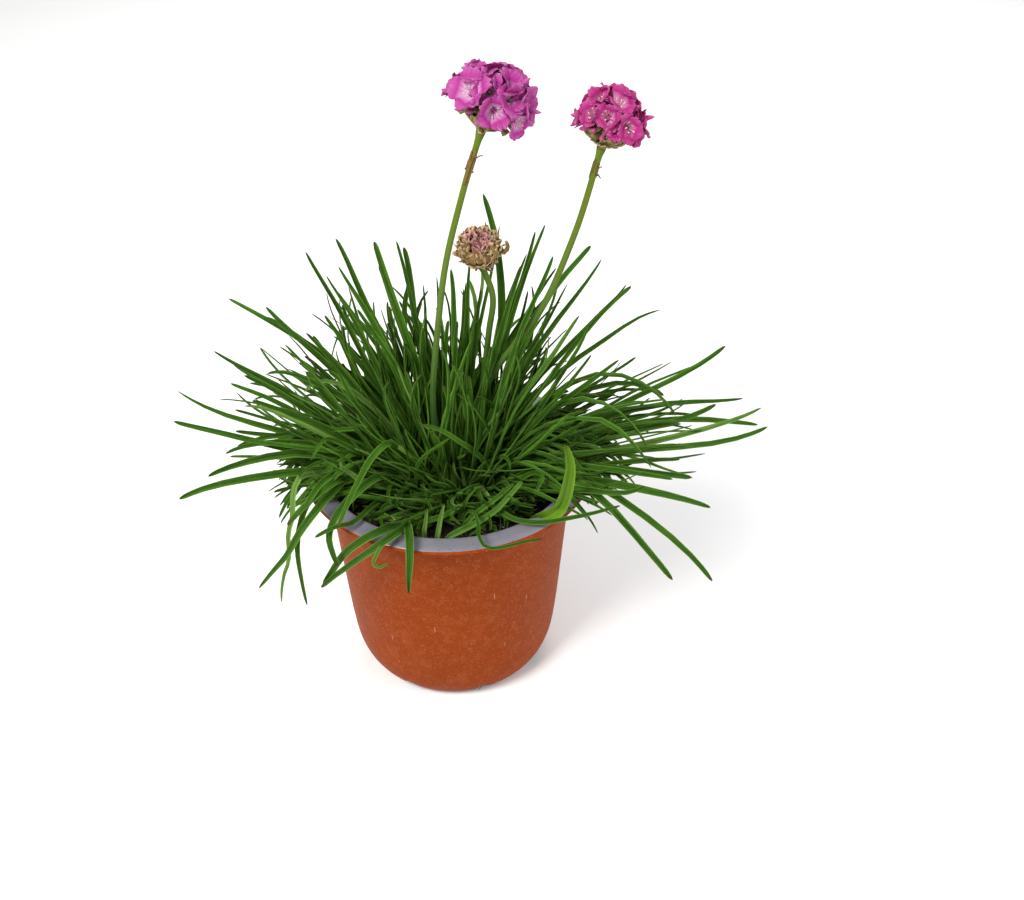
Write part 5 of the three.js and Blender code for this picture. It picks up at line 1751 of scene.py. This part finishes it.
def add_stamens(heap, parts, place, depth, draws):
    """Five threads with an anther each"""
    for stamen in range(PETAL_COUNT):
        turn = (stamen + 0.5) * FULL_TURN / PETAL_COUNT + draws.about(0.3)
        out, top = draws.between(0.9, 2.0), draws.between(-0.5, 1.0)
        foot = Vector((*round_about(turn, 0.4), -depth - 0.6))
        tip = Vector((*round_about(turn, out), top))
        controls = [np.array(point) for point in (foot, foot.lerp(tip, 0.35) + Vector((0, 0, 0.5)),
                                                  foot.lerp(tip, 0.75) + Vector((0, 0, 0.4)), tip)]
        line, ahead = bezier(controls, TUBE_SHARES)
        radii = np.full(len(TUBE_SHARES), THREAD_RADIUS)
        bent = bend_tube(parts["thread"], line, ahead, radii)[0]
        heap.add(moved(bent, place), parts["thread"][1], 0, draws.three(), STAMEN)
        grain = parts["grain"][0] * ANTHER_SIZE
        tilt = turning(draws.about(1), "X") @ turning(draws.about(1), "Y")
        heap.add(moved(grain, place @ Matrix.Translation(tip) @ tilt), parts["grain"][1], 0,
                 draws.three(), ANTHER)


def add_floret(heap, parts, place, size, head, tube, draws):
    """An open floret on a tube in a ribbed calyx"""
    depth = head["depth"]
    add_petals(heap, parts, place, size, head, draws)
    add_tube(heap, parts["tube"], [(0.75, -tube), (0.8, -depth - 1.6), (0.95, -depth - 0.4),
                                   (1.15, -depth + 0.25)], place, 4, draws, PETAL)
    add_tube(heap, parts["tube"], [(0.55, -tube - 0.4), (1.15, -tube + 1.4), (1.3, -depth - 2.4),
                                   (1.9, -depth - 1.0)], place, 5, draws, CALYX, 0.1)
    add_stamens(heap, parts, place, depth, draws)


def add_bud(heap, parts, place, length, draws):
    """A closed bud: a ribbed calyx with a twisted pink point"""
    add_tube(heap, parts["tube"], [(0.35, 0), (0.75, length * 0.25), (0.85, length * 0.5),
                                   (0.7, length * 0.64)], place, 4, draws, CALYX, 0.12)
    add_tube(heap, parts["tube"], [(0.5, length * 0.5), (0.85, length * 0.72),
                                   (0.75, length * 0.88), (0.12, length)],
             place, 4, draws, PETAL, 0.08)


def add_core(heap, radius, place, draws, kind, low=0.7):
    points, faces = take_shape(primitive(bpy.ops.mesh.primitive_uv_sphere_add, segments=20,
                                         ring_count=12, radius=1))
    points = points * radius
    points[:, 2] = np.maximum(points[:, 2], -radius * low)
    heap.add(moved(points, place), faces, 0, draws.three(), kind)


def florets_piece(name, head, parts, finishes):
    """A dome of crowded florets, with buds between them and round the edge"""
    place, core, far = head_matrix(head), head["core"], head["reach"]
    heap, draws = Heap(), Draws(head["seed"])
    add_core(heap, core * 0.9, place, draws, CALYX)
    for direction in directions_over(head["crowd"], head["lowest"]):
        reach = far * draws.between(0.86, 1.04) * (1 - head["flat"] * direction.z ** 2)
        size = head["petal"] * draws.between(0.84, 1.12)
        sway = Vector((draws.about(0.16), draws.about(0.16), draws.about(0.1)))
        stand = standing((direction + sway).normalized(), draws.between(0, FULL_TURN), reach)
        add_floret(heap, parts, place @ stand, size, head, reach - core * 0.6, draws)
    for direction in directions_over(head["buds"], -0.25):
        turned = Matrix.Rotation(draws.between(0, FULL_TURN), 3, "Z") @ direction
        length = draws.between(0.95, 1.25) * far * 0.85
        add_bud(heap, parts, place @ standing(turned, 0, core * 0.5), length, draws)
    for spike in head["spikes"]:
        stand = place @ standing(place.inverted().to_3x3() @ Vector(spike), 0, core * 0.5)
        add_bud(heap, parts, stand, far + 1.2, draws)
    for index in range(head["skirt"]):
        turn = FULL_TURN * (index + draws.about(0.3)) / head["skirt"]
        low = Vector((*round_about(turn), draws.between(-0.65, -0.25))).normalized()
        stand = place @ standing(low, draws.between(0, 6), core * 0.6)
        length = far * draws.between(0.42, 0.62)
        add_tube(heap, parts["tube"], [(0.4, 0), (0.65, length * 0.4), (0.8, length * 0.7),
                                       (1.15, length)], stand, 5, draws, CALYX, 0.25)
    for direction in directions_over(head["crowd"] * 2, -0.5):
        turned = Matrix.Rotation(1.1, 3, "Z") @ direction
        length = draws.between(0.5, 0.75) * far
        stand = place @ standing(turned, draws.between(0, 6), core * 0.55)
        add_bud(heap, parts, stand, length, draws)
    return heap.piece(name, *finishes)


def scale_points(template, length, half_width, curve, draws):
    """Bends the sheet into a bract: broad in the middle, pointed, curved over its length"""
    sheet = template[0]
    across, along = sheet[:, 0], sheet[:, 1]
    wide = half_width * np.sin(np.clip(along * 0.86 + 0.14, 0, 1) * math.pi) ** 0.55
    angle = curve * along
    is_curved = abs(curve) > 1e-3
    reach = length * (np.sin(angle) / curve if is_curved else along)
    rise = length * ((1 - np.cos(angle)) / curve if is_curved else 0 * along)
    hollow = -0.5 * half_width * across ** 2
    crinkle = 0.12 * np.sin(across * 5 + along * 7 + draws.between(0, 6))
    return np.stack([reach, wide * across,
                     rise + hollow + crinkle - sheet_sides(sheet, SKIN_THICKNESS)], -1)


def bracts_piece(name, head, sheet, tube, finish):
    """Green cup with three rows of papery bracts under a head"""
    place, core = head_matrix(head), head["core"]
    heap, draws, top = Heap(), Draws(head["seed"] + 1), -core * 0.7 - 0.1
    add_tube(heap, tube, [(1.3, -head["foot"] - 0.2), (core * 0.5, top - 2.0),
                          (core * 0.72, top - 0.6), (core * 0.72, top + 0.9)], place, 4, draws, 0)
    for count, drop, start, tilt, length, width in BRACT_ROWS:
        for index in range(count):
            turn = FULL_TURN * (index + draws.about(0.2)) / count
            lean = tilt + draws.about(0.35)
            points = scale_points(sheet, core * (length + draws.between(0, 0.25)), width,
                                  draws.between(0.3, 0.9), draws)
            stand = (place @ shifting(0, 0, top - drop) @ turning(turn, "Z")
                     @ shifting(core * start) @ turning(-lean, "Y"))
            heap.add(moved(points, stand), sheet[1], lay_of(sheet[0][:, 0], sheet[0][:, 1], 5),
                     draws.three())
    return heap.piece(name, finish)


def shingle_points(points, direction, radius, breadth, height, curl, draws):
    """Bends the sheet into a crumpled skin that lies on a ball, its free end curled off it"""
    across, along = points[:, 0], points[:, 1]
    aside = Vector((0, 0, 1)).cross(direction)
    aside = np.array((aside if aside.length > 0.1 else Vector((1, 0, 0))).normalized())
    ahead = np.cross(np.array(direction), aside)
    wave = draws.between(0, 6)
    wide = breadth * np.sin(np.clip(along * 0.76 + 0.14, 0, 1) * math.pi) ** 0.5
    spot = (np.array(direction) * radius + aside * (wide * across)[:, None]
            + ahead * ((along - 0.5 - 0.2 * (across * along) ** 2) * height)[:, None])
    crumple = 0.36 * np.sin(across * 3 + wave + 3 * along) + 0.16 * np.sin(across * 6 - wave)
    lift = curl * np.clip(along - 0.6, 0, 1) ** 1.5 * 6 + crumple * (0.4 + along)
    return unit(spot) * (radius + lift - sheet_sides(points, SKIN_THICKNESS))[:, None]


def add_skins(heap, place, core, sheet, draws):
    """Rows of crumpled skins over the dried head"""
    for count, polar, radius, breadth, height in SKINS:
        for index in range(count):
            turn = FULL_TURN * (index + draws.about(0.25)) / count + polar
            rise = polar + draws.about(0.08)
            reach = math.sqrt(max(0.02, 1 - rise * rise))
            direction = Vector((*round_about(turn, reach), rise)).normalized()
            points = shingle_points(sheet[0], direction, core + radius,
                                    breadth * draws.between(0.8, 1.2),
                                    height * draws.between(0.85, 1.15), draws.between(-0.2, 1.3),
                                    draws)
            kind = PINK if direction.dot(DRIED_FRONT) > draws.between(0.8, 0.95) else TAN
            heap.add(moved(points, place), sheet[1], lay_of(sheet[0][:, 0], sheet[0][:, 1], 5),
                     draws.three(), kind)


def add_funnels(heap, place, core, funnel, draws):
    """Crumpled open calyces on the upper half of the dried head"""
    points, faces = funnel
    turn, share, reach = ring_places(points)
    for direction in directions_over(FUNNEL_COUNT, 0.0):
        kind = PINK if direction.dot(DRIED_FRONT) > draws.between(0.5, 0.9) else TAN
        size = draws.between(1.1, 1.9)
        wave = [draws.between(0, 6) for _ in range(3)]
        flare = 0.5 + (size - 0.5) * np.sin(np.clip(share * 1.25, 0, 1) * math.pi / 2) ** 1.4
        pinch = 1 - 0.5 * np.clip(share - 0.72, 0, 1) / 0.28
        crumple = 1 + (0.3 * np.sin(turn * 2 + wave[0])
                       + 0.2 * np.sin(turn * 5 + wave[1] + share * 4)) * share
        radius = flare * pinch * crumple + (reach - 1) * 1.2
        bent = np.stack([radius * np.sin(turn) + share ** 2 * math.sin(wave[0]),
                         radius * np.cos(turn) * 0.7,
                         3.3 * share + 0.5 * np.sin(turn * 2 + wave[2]) * share], -1)
        stand = place @ standing(direction, draws.between(0, 6), core * 0.85)
        heap.add(moved(bent, stand), faces, lay_of(turn / math.pi - 1, share, 4), draws.three(),
                 kind)


def dried_piece(finishes):
    """Ball of crumpled papery bracts and calyces, dusty pink where it faces up and forward"""
    funnel = ringed_tube(12, FUNNEL_CUTS)
    apply_modifier(funnel, "SOLIDIFY", thickness=0.12, offset=1)
    place, core, heap = head_matrix(DRIED_HEAD), DRIED_HEAD["core"], Heap()
    draws = Draws(DRIED_HEAD["seed"])
    # The dark core in the dried shade finish is painted shade that shows through the gaps between
    # the skins
    add_core(heap, core * 0.94, place, draws, SHADE_CORE, 1.0)
    add_skins(heap, place, core, sheet_template(6, 8), draws)
    add_funnels(heap, place, core, take_shape(funnel), draws)
    blade = tube_template(BLADE_TURNS, BLADE_SHARES)
    for width, path in DRIED_CURLS:
        leaf = dict(points=from_mouth(path), width=width, twist=0.0, facing=(0.2, -0.9, 0.3))
        add_blade(heap, blade, leaf, draws, draws.next(), 0.0, 2.0)
    return heap.piece("dried_calyces", *finishes)


class THRIFT_PG_heads(bpy.types.PropertyGroup):
    pink: bpy.props.FloatVectorProperty(
        name="Pink", description="Petal colour of the taller head", subtype="COLOR",
        default=(0.36, 0.030, 0.225), min=0, max=1)
    magenta: bpy.props.FloatVectorProperty(
        name="Magenta", description="Petal colour of the other head", subtype="COLOR",
        default=(0.385, 0.022, 0.170), min=0, max=1)


class THRIFT_OT_heads(bpy.types.Operator):
    """Gather the florets, buds, bracts and the dried head"""

    bl_idname = "thrift.heads"
    bl_label = "Flower heads"

    def execute(self, context):
        settings = context.scene.thrift_heads
        parts = dict(grain=ball_template(), petal=sheet_template(8, 9),
                     tube=tube_template(10, TUBE_SHARES), thread=tube_template(4, TUBE_SHARES))
        calyx, bract, tan, deep, pink = (papery_finish(*skin) for skin in HEAD_SKINS)
        thread = plain_grain_finish("stamen", (0.85, 0.50, 0.70), (0.75, 0.32, 0.55), 0.5)
        anther = plain_grain_finish("anther", (0.80, 0.62, 0.42), (0.76, 0.42, 0.34), 0.6)
        petals = {
            "tall": ("pink_petal", petal_finish("pink petal", settings.pink, (0.33, 0.018, 0.205),
                                                (0.86, 0.58, 0.82))),
            "side": ("magenta_petal", petal_finish("magenta petal", settings.magenta,
                                                   (0.33, 0.010, 0.145), (0.86, 0.46, 0.68))),
        }
        sheet = sheet_template(5, 7)
        for name, head in HEADS.items():
            slot, petal = petals[name]
            piece = florets_piece("open_florets_" + name, head, parts,
                                  (petal, calyx, thread, anther))
            seat(piece, slot, "florets_" + name)
            cup = bracts_piece("papery_bracts_" + name, head, sheet, parts["tube"], bract)
            seat(cup, "bract", "bracts_" + name)
        seat(dried_piece((tan, pink, deep)), "dried_floret", "dried_head")
        return {"FINISHED"}


# Stage
def photo_camera():
    """Camera that sees the middle of the pot's mouth at its pixel of the photograph"""
    elevation, roll = math.radians(VIEW_ELEVATION), math.radians(VIEW_ROLL)
    ahead = Vector((0, math.cos(elevation), -math.sin(elevation)))
    right, up = Vector((1, 0, 0)), Vector((0, math.sin(elevation), math.cos(elevation)))
    target = Vector(((RIM_PIXEL[0] - IMAGE_SIZE[0] / 2) / FOCAL_PIXELS,
                     (IMAGE_SIZE[1] / 2 - RIM_PIXEL[1]) / FOCAL_PIXELS, 1)).normalized()
    axes = Vector((0, 0, 1)).rotation_difference(target).to_matrix() @ Matrix((
        right * math.cos(roll) + up * math.sin(roll),
        up * math.cos(roll) - right * math.sin(roll), ahead))
    rotation = Matrix((axes[0], axes[1], -Vector(axes[2]))).transposed()
    position = Vector((0, 0, POT_HEIGHT)) - ahead * VIEW_DISTANCE
    data = bpy.data.cameras.new("photo view")
    data.sensor_width = SENSOR_WIDTH
    data.lens = FOCAL_PIXELS * SENSOR_WIDTH / IMAGE_SIZE[0]
    data.clip_start = 0.01
    camera = bpy.data.objects.new("photo_view", data)
    camera.matrix_world = Matrix.Translation(position * MM) @ rotation.to_4x4()
    bpy.context.scene.collection.objects.link(camera)
    bpy.context.scene.camera = camera


def soft_light(name, place, size, power, colour):
    """A square lamp that faces the plant"""
    deselect_all()
    bpy.ops.object.light_add(type="AREA", location=place)
    lamp = bpy.context.object
    lamp.name = name
    lamp.data.size = size
    lamp.data.energy = power
    lamp.data.color = colour
    aim = Vector(LAMP_AIM) - Vector(place)
    lamp.rotation_euler = aim.to_track_quat("-Z", "Y").to_euler()


class THRIFT_PG_stage(bpy.types.PropertyGroup):
    floor: bpy.props.FloatVectorProperty(
        name="Floor", description="Colour of the pale floor", subtype="COLOR",
        default=(0.93, 0.93, 0.93), min=0, max=1)
    light: bpy.props.FloatProperty(
        name="Light", description="Strength of all lamps against the chosen one", default=1.0,
        min=0.1, max=4)


class THRIFT_OT_stage(bpy.types.Operator):
    """Set the pale floor, the soft lights and the camera"""

    bl_idname = "thrift.stage"
    bl_label = "Stage"

    def execute(self, context):
        settings = context.scene.thrift_stage
        floor = primitive(bpy.ops.mesh.primitive_plane_add, "floor", size=FLOOR_SIZE)
        finish = Finish("pale floor")
        finish.start(finish.patches(finish.place(), 9, 0.3, 0.7), settings.floor,
                     [min(1, 1.02 * part) for part in settings.floor])
        floor.data.materials.append(finish.done(0.9))
        world = bpy.data.worlds.new("soft studio")
        world.use_nodes = True
        feed(world.node_tree, world.node_tree.nodes["Background"],
             {"Color": (1, 1, 1, 1), "Strength": SKY_STRENGTH * settings.light})
        context.scene.world = world
        context.scene.view_settings.view_transform = "Standard"
        for name, place, size, power, colour in LAMPS:
            soft_light(name, place, size, power * settings.light, colour)
        photo_camera()
        return {"FINISHED"}


class THRIFT_PT_panel(bpy.types.Panel):
    bl_idname = "THRIFT_PT_panel"
    bl_label = "Potted sea thrift"
    bl_space_type = "VIEW_3D"
    bl_region_type = "UI"
    bl_category = "Thrift"

    def draw(self, context):
        for operator, attribute, kind in STEPS:
            box = self.layout.box()
            box.operator(operator.bl_idname)
            for name in kind.__annotations__:
                box.prop(getattr(context.scene, attribute), name)


STEPS = [
    (THRIFT_OT_stage, "thrift_stage", THRIFT_PG_stage),
    (THRIFT_OT_pot, "thrift_pot", THRIFT_PG_pot),
    (THRIFT_OT_soil, "thrift_soil", THRIFT_PG_soil),
    (THRIFT_OT_leaves, "thrift_leaves", THRIFT_PG_leaves),
    (THRIFT_OT_stalks, "thrift_stalks", THRIFT_PG_stalks),
    (THRIFT_OT_heads, "thrift_heads", THRIFT_PG_heads),
]


def register():
    for operator, attribute, kind in STEPS:
        bpy.utils.register_class(kind)
        bpy.utils.register_class(operator)
        setattr(bpy.types.Scene, attribute, bpy.props.PointerProperty(type=kind))
    bpy.utils.register_class(THRIFT_PT_panel)


def unregister():
    bpy.utils.unregister_class(THRIFT_PT_panel)
    for operator, attribute, kind in reversed(STEPS):
        delattr(bpy.types.Scene, attribute)
        bpy.utils.unregister_class(operator)
        bpy.utils.unregister_class(kind)


def main():
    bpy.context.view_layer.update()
    register()
    for build in (build_patches, build_specks, build_fibres, build_relief):
        build()
    bpy.ops.thrift.stage()
    bpy.ops.thrift.pot()
    bpy.ops.thrift.soil()
    bpy.ops.thrift.leaves()
    bpy.ops.thrift.stalks()
    bpy.ops.thrift.heads()
    deselect_all()


if __name__ == "__main__":
    main()
